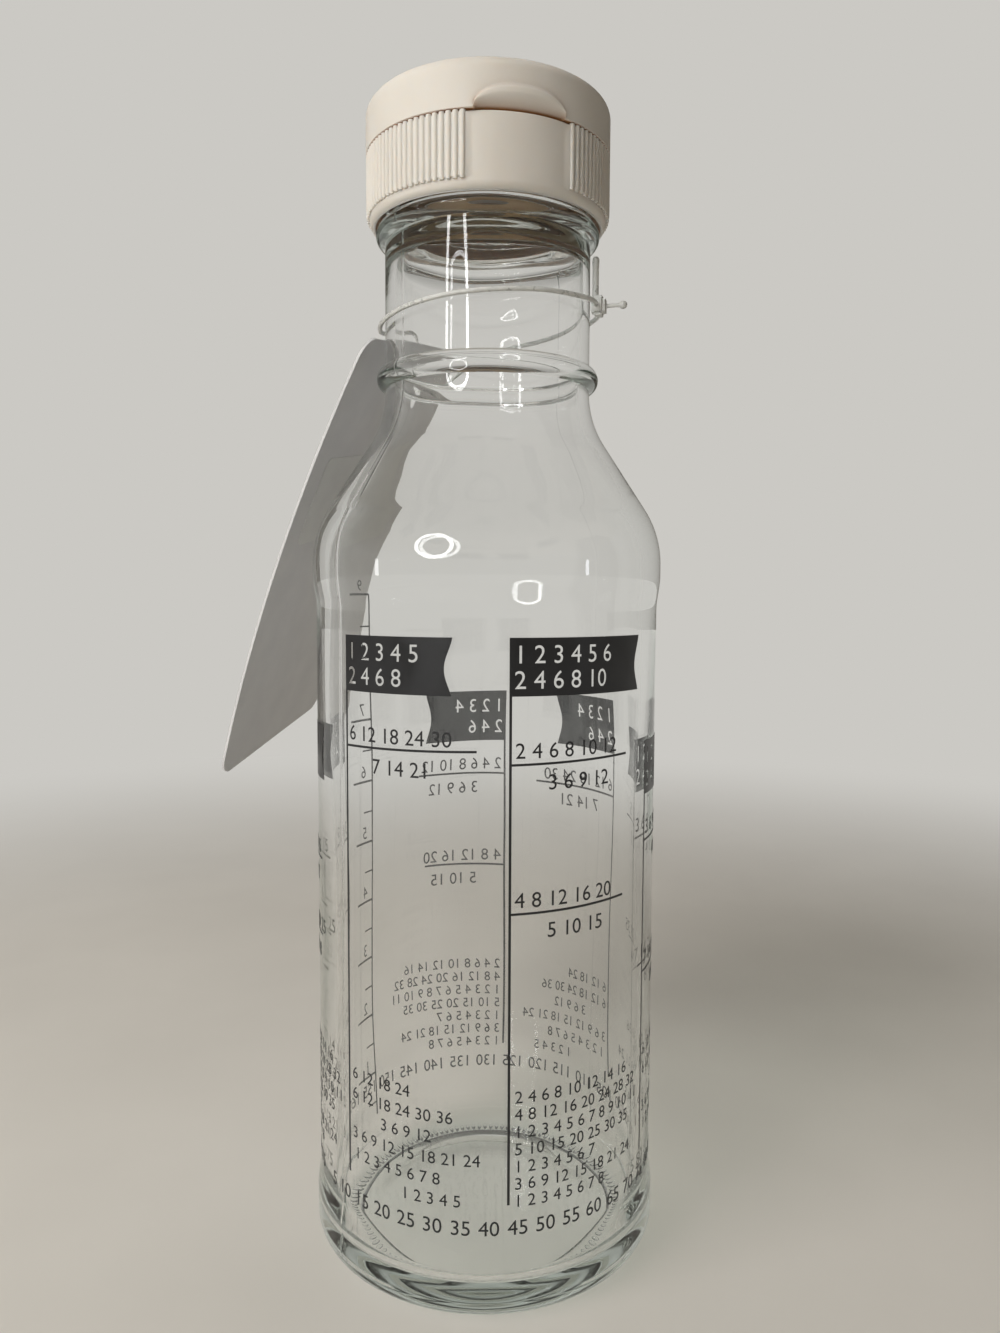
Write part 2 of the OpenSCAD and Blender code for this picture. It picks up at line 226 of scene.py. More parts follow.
@dataclass(frozen=True)
class BlownSodaLimeGlass:
    """Clear container glass, blown in a mould: mirror-smooth, faintly wavy, grey-green where thick."""

    name: str = "soda_lime_glass_blown"
    ior: float = 1.52
    tint: str = "#b9c8c0"
    absorption: float = 19.0
    shadow_pass: Colour = (0.945, 0.955, 0.95, 1.0)
    ripple_mm: float = 16.0
    ripple_depth_mm: float = 0.35

    def make(self) -> bpy.types.Material:
        """Builds the glass: clear body, light passing in shadow, absorption, faint mould ripple.

        Returns:
            The finished material.
        """
        material, tree = new_material(self.name)
        # The mould leaves shallow ripples, which bend the edges seen through the wall.
        ripple = object_noise(tree, self.ripple_mm, 1.0, (1.0, 1.0, 0.45))
        glass = add_node(tree, "ShaderNodeBsdfPrincipled", {
            "Base Color": (1.0, 1.0, 1.0, 1.0), "Roughness": 0.0, "IOR": self.ior,
            "Transmission Weight": 1.0, "Normal": bumped(tree, ripple, self.ripple_depth_mm, 0.35)})
        # Light reaches the floor through the bottle instead of stopping at it.
        through = add_node(tree, "ShaderNodeBsdfTransparent", {"Color": self.shadow_pass})
        path = add_node(tree, "ShaderNodeLightPath")
        mix = add_node(tree, "ShaderNodeMixShader", {
            0: path.outputs["Is Shadow Ray"], 1: glass.outputs[0], 2: through.outputs[0]})
        inside = add_node(tree, "ShaderNodeVolumeAbsorption", {
            "Color": linear(self.tint), "Density": self.absorption})
        finish_material(tree, mix.outputs[0], inside.outputs[0])
        return material


@dataclass(frozen=True)
class MottledFinish:
    """A finish whose colour, gloss and relief follow fine patterns.

    Each pattern is its blotch's width in millimetres and its detail, and the relief is its depth in
    millimetres and its strength. Without a grain of its own the relief follows the mottle.
    """

    name: str
    low_tone: str
    high_tone: str
    mottle: tuple[float, float]
    rough: tuple[float, float]
    ior: float
    relief: tuple[float, float]
    grain: tuple[float, float] | None = None
    grain_stretch: Point3 = (1.0, 1.0, 1.0)
    inside: dict[str, object] = field(default_factory=dict)

    def make(self) -> bpy.types.Material:
        """Builds the finish.

        Returns:
            The finished material.
        """
        material, tree = new_material(self.name)
        cloud = object_noise(tree, *self.mottle)
        grain = object_noise(tree, *self.grain, self.grain_stretch) if self.grain else cloud
        body = add_node(tree, "ShaderNodeBsdfPrincipled", {
            "Base Color": two_tone(tree, cloud, linear(self.low_tone), linear(self.high_tone)),
            "Roughness": spread(tree, cloud, *self.rough), "IOR": self.ior,
            "Normal": bumped(tree, grain, *self.relief)} | self.inside)
        finish_material(tree, body.outputs[0])
        return material


# Black ceramic ink, screen printed and fired on the glass: dense and half glossy, with the screen's
# fine ripple, so the print looks a little raised.
ENAMEL = MottledFinish("black_enamel_screen_print", "#161617", "#232325", mottle=(5.0, 4.0),
                       rough=(0.30, 0.46), ior=1.5, relief=(0.01, 0.5), grain=(0.25, 2.0))
# Foamed polyethylene: matt, and its closed cells show as fine pits.
# Its warm tan is partly painted shade, for the dim inside of the cap.
FOAM = MottledFinish("polyethylene_foam_cream", "#cdae87", "#d9bd98", mottle=(0.5, 2.0),
                     rough=(0.6, 0.75), ior=1.45, relief=(0.05, 0.6))
# Drawn nylon: milky where light goes in, with a soft gleam and draw lines.
NYLON = MottledFinish("nylon_natural_drawn", "#dfe0dc", "#f0f0ec", mottle=(1.2, 2.0),
                      rough=(0.25, 0.37), ior=1.53, relief=(0.02, 0.3),
                      inside={"Transmission Weight": 0.25, "Subsurface Weight": 0.3,
                              "Subsurface Radius": (1.0, 1.0, 0.95), "Subsurface Scale": 0.6 * MM})
# Clay-coated card: smooth and cool white, with the fibres' relief under the coat.
CARD = MottledFinish("clay_coated_card", "#dddcdd", "#e6e5e5", mottle=(7.0, 4.0),
                     rough=(0.42, 0.52), ior=1.48, relief=(0.015, 0.5), grain=(0.6, 4.0),
                     grain_stretch=(1.0, 1.0, 0.4))
# Uncoated label paper: whiter and more matt than the card, with finer fibres.
PAPER = MottledFinish("matt_label_paper", "#e6e6e4", "#eeeeec", mottle=(7.0, 4.0),
                      rough=(0.6, 0.7), ior=1.48, relief=(0.015, 0.5), grain=(0.4, 4.0),
                      grain_stretch=(1.0, 1.0, 0.4))


@dataclass(frozen=True)
class MouldedPolypropylene:
    """Off-white injection-moulded polypropylene: satin skin, soft edges, faint flow marks.

    Grooves and hollows are painted darker and browner by an ambient-occlusion mask: painted shade.
    """

    name: str = "polypropylene_moulded_cream"
    tone: str = "#e2ddd5"
    deep_tone: str = "#dbd5cc"
    # The brown of the painted shade that grooves and hollows are given.
    groove_tone: str = "#9a6c42"
    groove_reach_mm: float = 3.0
    # Ambient-occlusion shares at which the painted shade is full and at which it is gone.
    closed_share: float = 0.1
    open_share: float = 0.4
    inner_glow: float = 0.7
    flow_mm: float = 18.0
    grain_mm: float = 0.35

    def make(self) -> bpy.types.Material:
        """Builds the plastic: two near creams, painted shade in its grooves, uneven gloss, spark-eroded
        grain.

        Returns:
            The finished material.
        """
        material, tree = new_material(self.name)
        flow = object_noise(tree, self.flow_mm, 3.0, (1.0, 1.0, 0.5))
        grain = object_noise(tree, self.grain_mm, 3.0)
        creams = two_tone(tree, flow, linear(self.deep_tone), linear(self.tone))
        # Painted shade: the less open sky a point sees, the more of the brown shade tone it takes.
        open_sky = add_node(tree, "ShaderNodeAmbientOcclusion", {
            "Distance": self.groove_reach_mm * MM}, samples=8).outputs["AO"]
        depth = add_node(tree, "ShaderNodeMapRange", {
            "Value": open_sky, "From Min": self.closed_share, "From Max": self.open_share,
            "To Min": 1.0, "To Max": 0.0})
        cream = add_node(tree, "ShaderNodeMix", {
            "Factor": depth.outputs[0], "A": creams, "B": linear(self.groove_tone)}, data_type="RGBA")
        plastic = add_node(tree, "ShaderNodeBsdfPrincipled", {
            "Base Color": cream.outputs["Result"],
            "Roughness": spread(tree, flow, 0.40, 0.50), "IOR": 1.49,
            "Subsurface Weight": self.inner_glow, "Subsurface Radius": (1.0, 0.88, 0.76),
            "Subsurface Scale": 0.7 * MM, "Normal": bumped(tree, grain, 0.012, 0.5)})
        finish_material(tree, plastic.outputs[0])
        return material


@dataclass(frozen=True)
class PaleTable:
    """Painted studio floor: matt, pale and nearly even, with no grain to catch the eye."""

    name: str = "pale_studio_floor"
    tone: str = "#e6e2da"
    tone_2: str = "#e0dcd4"
    far: str = "#cbc9c4"
    fade_from: float = 0.16
    fade_to: float = 0.55

    def make(self) -> bpy.types.Material:
        """Builds the floor's matt surface, which runs out into the backdrop's even tone.

        Returns:
            The finished material.
        """
        material, tree = new_material(self.name)
        cloud = object_noise(tree, 60.0)
        floor = add_node(tree, "ShaderNodeBsdfPrincipled", {
            "Base Color": two_tone(tree, cloud, linear(self.tone_2), linear(self.tone)),
            "Roughness": 0.5, "Specular IOR Level": 0.3})
        place = add_node(tree, "ShaderNodeTexCoord")
        away = add_node(tree, "ShaderNodeVectorMath", {0: place.outputs["Object"]}, operation="LENGTH")
        share = add_node(tree, "ShaderNodeMapRange", {
            "Value": away.outputs["Value"], "From Min": self.fade_from, "From Max": self.fade_to},
            interpolation_type="SMOOTHSTEP").outputs[0]
        # Only what is looked at runs out into the backdrop: the far floor puts no light on the bottle.
        path = add_node(tree, "ShaderNodeLightPath")
        looked_at = path.outputs["Is Camera Ray"]
        for kind in ("Is Glossy Ray", "Is Transmission Ray"):
            looked_at = add_node(tree, "ShaderNodeMath", {0: looked_at, 1: path.outputs[kind]},
                                 operation="MAXIMUM").outputs[0]
        fade = add_node(tree, "ShaderNodeMath", {0: share, 1: looked_at},
                        operation="MULTIPLY").outputs[0]
        even = add_node(tree, "ShaderNodeEmission", {"Color": linear(self.far), "Strength": 1.0})
        mix = add_node(tree, "ShaderNodeMixShader", {0: fade, 1: floor.outputs[0], 2: even.outputs[0]})
        finish_material(tree, mix.outputs[0])
        return material


# Geometry


def arc(centre: Point2, radius: Point2 | float, start: float, end: float, steps: int) -> list[Point2]:
    """Gives points of a circular or elliptical arc.

    Args:
        centre: Its middle, as radius and height.
        radius: Its radius, or one radius for each direction.
        start: First angle, in degrees.
        end: Last angle, in degrees.
        steps: Number of stretches.

    Returns:
        The points in order.
    """
    rx, rz = radius if isinstance(radius, tuple) else (radius, radius)
    angles = (math.radians(start + (end - start) * i / steps) for i in range(steps + 1))
    return [(centre[0] + rx * math.cos(a), centre[1] + rz * math.sin(a)) for a in angles]


def smooth(low: float, high: float, value: float) -> float:
    """Rises smoothly from 0 at low to 1 at high."""
    t = min(1.0, max(0.0, (value - low) / (high - low)))
    return t * t * (3 - 2 * t)


def swell(start: Point2, end: Point2, steps: int) -> list[Point2]:
    """Joins two points of a profile by a gentle S curve along Z, without the first point."""
    rows = (i / steps for i in range(1, steps + 1))
    return [(start[0] + (end[0] - start[0]) * smooth(0, 1, t), start[1] + (end[1] - start[1]) * t)
            for t in rows]


def resampled(profile: Sequence[Point2], longest: float) -> list[Point2]:
    """Splits long stretches of a profile so that none is longer than a limit, in millimetres."""
    points = [profile[0]]
    for a, b in zip(profile, profile[1:]):
        count = max(1, math.ceil(math.dist(a, b) / longest))
        points += [(a[0] + (b[0] - a[0]) * i / count, a[1] + (b[1] - a[1]) * i / count)
                   for i in range(1, count + 1)]
    return points


def even_angles(count: int) -> list[float]:
    """Gives evenly spaced angles round the axis, in degrees."""
    return [360 * i / count for i in range(count)]


def refined(profile: Sequence[Point2], longest: Callable[[Point2, Point2], float]) -> list[Point2]:
    """Splits each stretch of a profile to its own longest step, and leaves the last point out."""
    pairs = zip(profile, profile[1:])
    return [point for a, b in pairs for point in resampled([a, b], longest(a, b))[:-1]]


def thread_share(degrees: float, height: float, start_z: float, pitch: float, first: float, last: float
                 ) -> float:
    """Tells how much of a screw ridge's depth a point of the wall has.

    Args:
        degrees: The point's angle round the axis.
        height: The point's height.
        start_z: Height of the ridge's middle at 0 degrees.
        pitch: Rise in one turn.
        first: Angle where the ridge starts, in degrees.
        last: Angle where it ends, which may lie in the second turn.

    Returns:
        0 beside the ridge to 1 on its crest.
    """
    best = 0.0
    for a in (degrees, degrees + 360):
        if first <= a <= last:
            off = abs(height - start_z - pitch * a / 360)
            fade = min(1.0, (a - first) / THREAD_FADE, (last - a) / THREAD_FADE)
            best = max(best, fade * (1 - smooth(*THREAD_FLANK, off)))
    return best


def join_rows(mesh: bmesh.types.BMesh, rows: Sequence[Sequence[bmesh.types.BMVert]],
              ring: bool = False) -> None:
    """Fills the faces between rows of points that each run round.

    Args:
        mesh: The mesh of the points.
        rows: The rows in order; a row may be one point.
        ring: True if the last row joins the first.
    """
    count = max(len(row) for row in rows)
    for low, high in list(zip(rows, rows[1:])) + ([(rows[-1], rows[0])] if ring else []):
        for i in range(count):
            j = (i + 1) % count
            corners = [low[i % len(low)], low[j % len(low)], high[j % len(high)], high[i % len(high)]]
            unique = list(dict.fromkeys(corners))
            if len(unique) > 2:
                mesh.faces.new(unique)


def cut(sheet: bmesh.types.BMesh, place: Point3, across: Point3) -> None:
    """Cuts every face of a sheet along the plane through a place."""
    bmesh.ops.bisect_plane(sheet, geom=sheet.verts[:] + sheet.edges[:] + sheet.faces[:],
                           plane_co=place, plane_no=across, dist=1e-5)


def thicken(sheet: bmesh.types.BMesh) -> set[bmesh.types.BMVert]:
    """Closes a flat sheet with a second layer over it, whose points it gives."""
    for face in sheet.faces:
        if face.normal.z < 0:
            face.normal_flip()
    raised = bmesh.ops.extrude_face_region(sheet, geom=sheet.faces[:])
    return {v for v in raised["geom"] if isinstance(v, bmesh.types.BMVert)}


def placed(name: str, data: bpy.types.ID) -> bpy.types.Object:
    """Makes an object of its data at the origin of the scene."""
    thing = bpy.data.objects.new(name, data)
    bpy.context.scene.collection.objects.link(thing)
    return thing


def lathe(name: str, profile: Sequence[Point2], angles: Sequence[float], ring: bool = False,
          shape: Callable[[float, float, float], float] | None = None) -> bpy.types.Object:
    """Turns a profile about Z into a closed mesh.

    Args:
        name: The new object's name.
        profile: Radius and height of each point; from axis to axis, or round a ring's section.
        angles: Where the columns stand, in degrees, rising.
        ring: True if the profile is the closed section of a ring.
        shape: Gives a point's new radius from its angle, radius and height.

    Returns:
        The object, in metres, shaded smooth.
    """
    mesh = bmesh.new()
    rows: list[list[bmesh.types.BMVert]] = []
    for radius, height in profile:
        if radius < 1e-6:
            rows.append([mesh.verts.new((0, 0, height * MM))])
            continue
        row = []
        for degrees in angles:
            a = math.radians(degrees)
            r = shape(degrees, radius, height) if shape else radius
            row.append(mesh.verts.new((r * math.cos(a) * MM, r * math.sin(a) * MM, height * MM)))
        rows.append(row)
    join_rows(mesh, rows, ring)
    return keep(name, mesh)


def keep(name: str, mesh: bmesh.types.BMesh, smooth_angle: float = 40.0) -> bpy.types.Object:
    """Turns the faces of a finished bmesh outwards and stores it as an object at the origin.

    Args:
        name: The object's name.
        mesh: The mesh, in metres; it is freed.
        smooth_angle: Edges sharper than this many degrees stay hard.

    Returns:
        The new object.
    """
    data = bpy.data.meshes.new(name)
    bmesh.ops.recalc_face_normals(mesh, faces=mesh.faces)
    limit = math.radians(smooth_angle)
    for face in mesh.faces:
        face.smooth = True
    for edge in mesh.edges:
        edge.smooth = len(edge.link_faces) == 2 and edge.calc_face_angle(0.0) < limit
    mesh.to_mesh(data)
    mesh.free()
    return placed(name, data)


def dress(piece: bpy.types.Object, material: bpy.types.Material, body: Body,
          replaces: Sequence[str] = ()) -> bpy.types.Object:
    """Gives a piece its material and body, and hides the CAD nodes that it stands for.

    Args:
        piece: The finished piece.
        material: Its only material.
        body: The body that it rides on.
        replaces: The CAD nodes that it hides.

    Returns:
        The same piece.
    """
    piece.data.materials.clear()
    piece.data.materials.append(material)
    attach(piece, body.value)
    if replaces:
        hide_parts(*replaces)
    LOG.info("%s rides on %s", piece.name, body.value)
    return piece


def finish_node(name: str, material: bpy.types.Material) -> None:
    """Gives a CAD node that is shown as it is its material."""
    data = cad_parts[name].data
    data.materials.clear()
    data.materials.append(material)


# Instanced patterns


@dataclass
class PatternTree:
    """A geometry node tree that repeats one small closed form round the bottle's axis."""

    name: str
    sizes: dict[str, float]
    tree: bpy.types.NodeTree = field(init=False)
    entry: bpy.types.Node = field(init=False)

    def __post_init__(self) -> None:
        """Makes the tree with one named input for each size."""
        self.tree = bpy.data.node_groups.new(self.name, "GeometryNodeTree")
        self.tree.interface.new_socket("Geometry", in_out="OUTPUT", socket_type="NodeSocketGeometry")
        for label, value in self.sizes.items():
            kind = "NodeSocketInt" if isinstance(value, int) else "NodeSocketFloat"
            socket = self.tree.interface.new_socket(label, in_out="INPUT", socket_type=kind)
            socket.default_value = value
        self.entry = self.tree.nodes.new("NodeGroupInput")

    def size(self, label: str) -> bpy.types.NodeSocket:
        """Gives the socket of a named size."""
        return self.entry.outputs[label]

    def math(self, operation: str, *values: bpy.types.NodeSocket | float) -> bpy.types.NodeSocket:
        """Adds a maths node and gives its result."""
        return add_node(self.tree, "ShaderNodeMath", dict(enumerate(values)), operation=operation
                        ).outputs[0]

    def round_axis(self, form: bpy.types.NodeSocket, count: bpy.types.NodeSocket,
                   start: bpy.types.NodeSocket, step: bpy.types.NodeSocket,
                   radius: bpy.types.NodeSocket, height: bpy.types.NodeSocket,
                   material: bpy.types.Material) -> None:
        """Sets copies of a form round the axis and ends the tree.

        Args:
            form: The geometry to repeat; its own +X is outwards.
            count: Number of copies.
            start: Angle of the first copy, in radians.
            step: Angle from one copy to the next, in radians.
            radius: Distance of the copies from the axis, in metres.
            height: Their height, in metres.
            material: The finish of every copy.
        """
        tree = self.tree
        index = add_node(tree, "GeometryNodeInputIndex").outputs[0]
        angle = self.math("ADD", start, self.math("MULTIPLY", index, step))
        place = add_node(tree, "ShaderNodeCombineXYZ", {
            0: self.math("MULTIPLY", radius, self.math("COSINE", angle)),
            1: self.math("MULTIPLY", radius, self.math("SINE", angle)), 2: height}).outputs[0]
        spots = add_node(tree, "GeometryNodePoints", {"Count": count, "Position": place}).outputs[0]
        turn = add_node(tree, "ShaderNodeCombineXYZ", {2: angle}).outputs[0]
        copies = add_node(tree, "GeometryNodeInstanceOnPoints", {
            "Points": spots, "Instance": form, "Rotation": turn}).outputs[0]
        solid = add_node(tree, "GeometryNodeRealizeInstances", {0: copies}).outputs[0]
        coated = add_node(tree, "GeometryNodeSetMaterial", {"Geometry": solid, "Material": material})
        exit_node = tree.nodes.new("NodeGroupOutput")
        tree.links.new(coated.outputs[0], exit_node.inputs[0])

    def bake(self, name: str, **sizes: float) -> bpy.types.Object:
        """Runs the tree once and keeps its result as a plain mesh.

        Args:
            name: The new object's name.
            **sizes: Values for the tree's inputs, with underscores for spaces.

        Returns:
            The object with its finished mesh.
        """
        host = placed(name + "_maker", bpy.data.meshes.new(name + "_maker"))
        modifier = host.modifiers.new(self.name, "NODES")
        modifier.node_group = self.tree
        keys = {item.name: item.identifier for item in self.tree.interface.items_tree
                if item.in_out == "INPUT"}
        for label, value in sizes.items():
            modifier[keys[label.replace("_", " ")]] = value
        graph = bpy.context.evaluated_depsgraph_get()
        data = bpy.data.meshes.new_from_object(host.evaluated_get(graph))
        data.name = name
        host.modifiers.clear()
        bpy.data.objects.remove(host)
        for polygon in data.polygons:
            polygon.use_smooth = True
        return placed(name, data)


def rib_tree(material: bpy.types.Material) -> PatternTree:
    """Makes the tree of upright grip ribs with round crests and round ends.

    Args:
        material: The ribs' plastic.

    Returns:
        The finished tree.
    """
    ribs = PatternTree("grip_ribs", {"Rib count": 90, "Start angle": 0.0, "Angle step": 0.05,
                                     "Ring radius": 0.02, "Rib radius": 0.0004, "Rib height": 0.01,
                                     "Base height": 0.0})
    tree = ribs.tree
    top = add_node(tree, "ShaderNodeCombineXYZ", {2: ribs.size("Rib height")}).outputs[0]
    line = add_node(tree, "GeometryNodeCurvePrimitiveLine", {"End": top}).outputs[0]
    cut_line = add_node(tree, "GeometryNodeResampleCurve", {"Curve": line, "Count": 11}).outputs[0]
    share = add_node(tree, "GeometryNodeSplineParameter").outputs["Factor"]
    # The ends close in a quarter-round, as a moulded rib does.
    near = ribs.math("MINIMUM", 1.0, ribs.math("MULTIPLY", share, 9.0))
    from_full = ribs.math("SUBTRACT", 1.0, ribs.math("MAXIMUM", near, 0.35))
    round_end = ribs.math("SQRT", ribs.math("SUBTRACT", 1.0, ribs.math("POWER", from_full, 2.0)))
    tapered = add_node(tree, "GeometryNodeSetCurveRadius", {
        "Curve": cut_line, "Radius": round_end}).outputs[0]
    section = add_node(tree, "GeometryNodeCurvePrimitiveCircle", {
        "Resolution": 14, "Radius": ribs.size("Rib radius")}).outputs["Curve"]
    bar = add_node(tree, "GeometryNodeCurveToMesh", {
        "Curve": tapered, "Profile Curve": section, "Fill Caps": True})
    if "Scale" in bar.inputs:
        radius = add_node(tree, "GeometryNodeInputRadius").outputs[0]
        tree.links.new(radius, bar.inputs["Scale"])
    ribs.round_axis(bar.outputs[0], ribs.size("Rib count"), ribs.size("Start angle"),
                    ribs.size("Angle step"), ribs.size("Ring radius"), ribs.size("Base height"),
                    material)
    return ribs


def knurl_tree(material: bpy.types.Material) -> PatternTree:
    """Makes the tree of the short round ridges that stand across the foot of the glass.

    Args:
        material: The ridges' glass.

    Returns:
        The finished tree.
    """
    knurl = PatternTree("foot_knurl", {"Ridge count": 120, "Ridge radius": 0.0003,
                                       "Ridge length": 0.001, "Ring radius": 0.02,
                                       "Ring height": 0.0, "Start angle": 0.0})
    ball = add_node(knurl.tree, "GeometryNodeMeshIcoSphere", {
        "Radius": knurl.size("Ridge radius"), "Subdivisions": 3}).outputs[0]
    half = knurl.math("DIVIDE", knurl.size("Ridge length"), 2.0)
    long = add_node(knurl.tree, "ShaderNodeCombineXYZ", {
        0: knurl.math("DIVIDE", half, knurl.size("Ridge radius")), 1: 1.0, 2: 1.0}).outputs[0]
    ridge = add_node(knurl.tree, "GeometryNodeTransform", {"Geometry": ball, "Scale": long}).outputs[0]
    step = knurl.math("DIVIDE", math.tau, knurl.size("Ridge count"))
    knurl.round_axis(ridge, knurl.size("Ridge count"), knurl.size("Start angle"), step,
                     knurl.size("Ring radius"), knurl.size("Ring height"), material)
    return knurl


# Glass bottle


@dataclass
class GlassBottle:
    """The blown bottle: outer and inner profile, thread, seams and the knurl under its foot."""

    body_r: float = 31.0
    panel_r: float = 30.4
    wall: float = 2.7
    shoulder_z: float = 122.0
    tilt: float = 33.0
    shoulder_round: float = 17.5
    throat_round: float = 17.5
    heel_round: float = 4.6
    foot_w: float = 2.4
    foot_round: Point2 = (1.2, 1.4)
    punt: float = 2.2
    punt_curve: tuple[Point2, ...] = ((6.0, 0.02), (14.0, 0.25), (20.0, 0.75), (22.4, 1.2))
    floor_t: float = 3.2
    # The lid's copy paints shade into more open hollows than the skirt's, so its thumb hollow is painted
    # darker and browner.
    floor_round: float = 3.0
    neck_r: float = 18.05
    neck_wall: float = 1.7
    neck_len: float = 26.6
    ring_r: float = 19.6
    ring_up: float = 2.0
    ring_h: float = 3.8
    collar_r: float = 19.6
    collar_h: float = 3.2
    finish_r: float = 17.5
    finish_h: float = 10.6
    bore_r: float = 13.5
    rim_round: float = 0.6
    bead_power: float = 1.15
    thread_depth: float = 1.1
    thread_up: float = 4.2
    thread_end: float = 390.0
    pitch: float = 4.23
    seam: float = 0.05
    seams: tuple[float, float] = (24.0, 204.0)
    swell_h: float = 6.0
    wave: float = 0.10
    foot_lift: float = 0.3
    ridge_count: int = 120
    ridge_r: float = 0.42
    ridge_len: float = 2.2

    @property
    def panel_top(self) -> float:
        """Height where the printed panel begins to swell out to the shoulder."""
        return self.shoulder_z - 8

    @property
    def throat_z(self) -> float:
        """Height where the shoulder has become the neck."""
        t = math.radians(self.tilt)
        outer = self.body_r - self.shoulder_round * (1 - math.cos(t))
        inner = self.neck_r + self.throat_round * (1 - math.cos(t))
        return self.shoulder_z + (self.shoulder_round + self.throat_round) * math.sin(t) \
            + (outer - inner) / math.tan(t)

    @property
    def collar_z(self) -> float:
        """Height of the middle of the collar under the cap."""
        return self.throat_z + self.neck_len

    @property
    def rim_z(self) -> float:
        """Height of the rim."""
        return self.collar_z + self.finish_h

    @property
    def finish_low(self) -> float:
        """Height where the threaded finish starts over the collar."""
        return self.collar_z + 1.9

    def outer(self) -> list[Point2]:
        """Gives the outside profile from the middle of the underside to the rim."""
        foot_out = self.body_r - self.heel_round
        foot_in = foot_out - self.foot_w
        low = self.heel_round + 4
        high = self.panel_top
        across, up = self.foot_round
        line = [(0.0, self.punt)] + [(r, self.punt - fall) for r, fall in self.punt_curve]
        line += arc((foot_in, up), (across, up - self.foot_lift), 200, 270, 6)
        line += [(foot_out, self.foot_lift)]
        line += arc((foot_out, self.heel_round), (self.heel_round, self.heel_round - self.foot_lift),
                    -84, 0, 18)
        line += [(self.body_r, low)]
        line += swell((self.body_r, low), (self.panel_r, low + self.swell_h), 10)
        line += [(self.panel_r, high)]
        line += swell((self.panel_r, high), (self.body_r, high + self.swell_h), 10)
        line += arc((self.body_r - self.shoulder_round, self.shoulder_z), self.shoulder_round,
                    0, self.tilt, 16)
        line += arc((self.neck_r + self.throat_round, self.throat_z), self.throat_round,
                    180 + self.tilt, 180, 16)
        line += self.bead(self.ring_r, self.throat_z + self.ring_up, self.ring_h)
        line += self.bead(self.collar_r, self.collar_z, self.collar_h)
        turn = self.rim_round
        line += [(self.finish_r, self.finish_low)]
        return line + arc((self.finish_r - turn, self.rim_z - turn), turn, 0, 90, 6)

    def bead(self, crest_r: float, middle: float, height: float) -> list[Point2]:
        """Gives the points of a round ring on the neck, with small fillets at its foot."""
        depth = crest_r - self.neck_r
        rows = [-1 + 2 * i / 20 for i in range(21)]
        return [(self.neck_r + depth * math.sqrt(max(0.0, 1 - t * t)) ** self.bead_power,
                 middle + height / 2 * t) for t in rows]

    def inner(self) -> list[Point2]:
        """Gives the inside profile from the rim down to the middle of the floor."""
        inner_r = self.panel_r - self.wall
        floor_z = self.punt + self.floor_t
        neck_in = self.neck_r - self.neck_wall
        turn = self.rim_round
        line = arc((self.bore_r + turn, self.rim_z - turn), turn, 90, 180, 6)
        line += [(self.bore_r, self.collar_z + 0.4)]
        line += swell((self.bore_r, self.collar_z + 0.4), (neck_in, self.collar_z - 6.0), 14)
        line += arc((self.neck_r + self.throat_round, self.throat_z),
                    self.throat_round + self.neck_wall, 180, 180 + self.tilt, 16)
        line += arc((self.body_r - self.shoulder_round, self.shoulder_z),
                    self.shoulder_round - self.wall, self.tilt, 0, 16)
        swollen = (self.body_r - self.wall, self.panel_top + self.swell_h)
        line += [swollen] + swell(swollen, (inner_r, self.panel_top), 10)
        turn = self.floor_round
        line += arc((inner_r - turn, floor_z + turn), turn, 0, -88, 14)
        return line + [(12.0, floor_z - 0.1), (0.0, floor_z - 0.3)]

    def columns(self) -> list[float]:
        """Gives the angles of the mesh columns, closer together on the two mould seams."""
        near = (-1.6, -1.0, -0.6, -0.3, 0.0, 0.3, 0.6, 1.0, 1.6)
        close = [(seam + d) % 360 for seam in self.seams for d in near]
        return sorted(close + [a for a in even_angles(168) if self.from_seam(a) > 2])

    def from_seam(self, degrees: float) -> float:
        """Gives the angle to the nearer mould seam, in degrees."""
        return min(abs((degrees - seam + 180) % 360 - 180) for seam in self.seams)

    def relief(self, degrees: float, radius: float, height: float) -> float:
        """Adds the thread, the seams and the mould's slight waves to a radius.

        Args:
            degrees: Angle round the axis.
            radius: Plain radius at that height.
            height: Height above the floor.

        Returns:
            The real radius.
        """
        if radius > self.finish_r - 0.05 and height > self.finish_low - 0.2:
            return radius + self.thread_depth * thread_share(
                degrees, height, self.collar_z + self.thread_up, self.pitch, 0, self.thread_end)
        if abs(radius - self.bore_r) < 0.7 and height > self.collar_z:
            return radius
        a = math.radians(degrees)
        if self.is_inside(radius, height):
            wave = math.sin(3 * a + 0.05 * height) + 0.6 * math.sin(5 * a - 0.09 * height + 1.0)
            return radius + self.wave * wave * smooth(8.0, 24.0, height)
        on_seam = 1 - smooth(0.2, 0.75, self.from_seam(degrees))
        return radius + self.seam * on_seam * smooth(3.0, 8.0, height)

    def is_inside(self, radius: float, height: float) -> bool:
        """Tells whether a profile point belongs to the inner wall."""
        return 5.0 < height < self.collar_z and radius < self.wall_middle(height)

    def wall_middle(self, height: float) -> float:
        """Gives a radius about half-way through the wall at a height."""
        if height < self.shoulder_z:
            return self.panel_r - self.wall / 2
        above = [p for p in self.outer() if p[1] >= height]
        nearest = min(above, key=lambda p: p[1] - height)
        return nearest[0] - 0.8

    def longest(self, a: Point2, b: Point2) -> float:
        """Gives the longest step of the profile between two points: fine where the thread runs."""
        on_finish = min(a[1], b[1]) >= self.finish_low - 0.01 and min(a[0], b[0]) > self.finish_r - 0.1
        return 0.2 if on_finish else 3.0

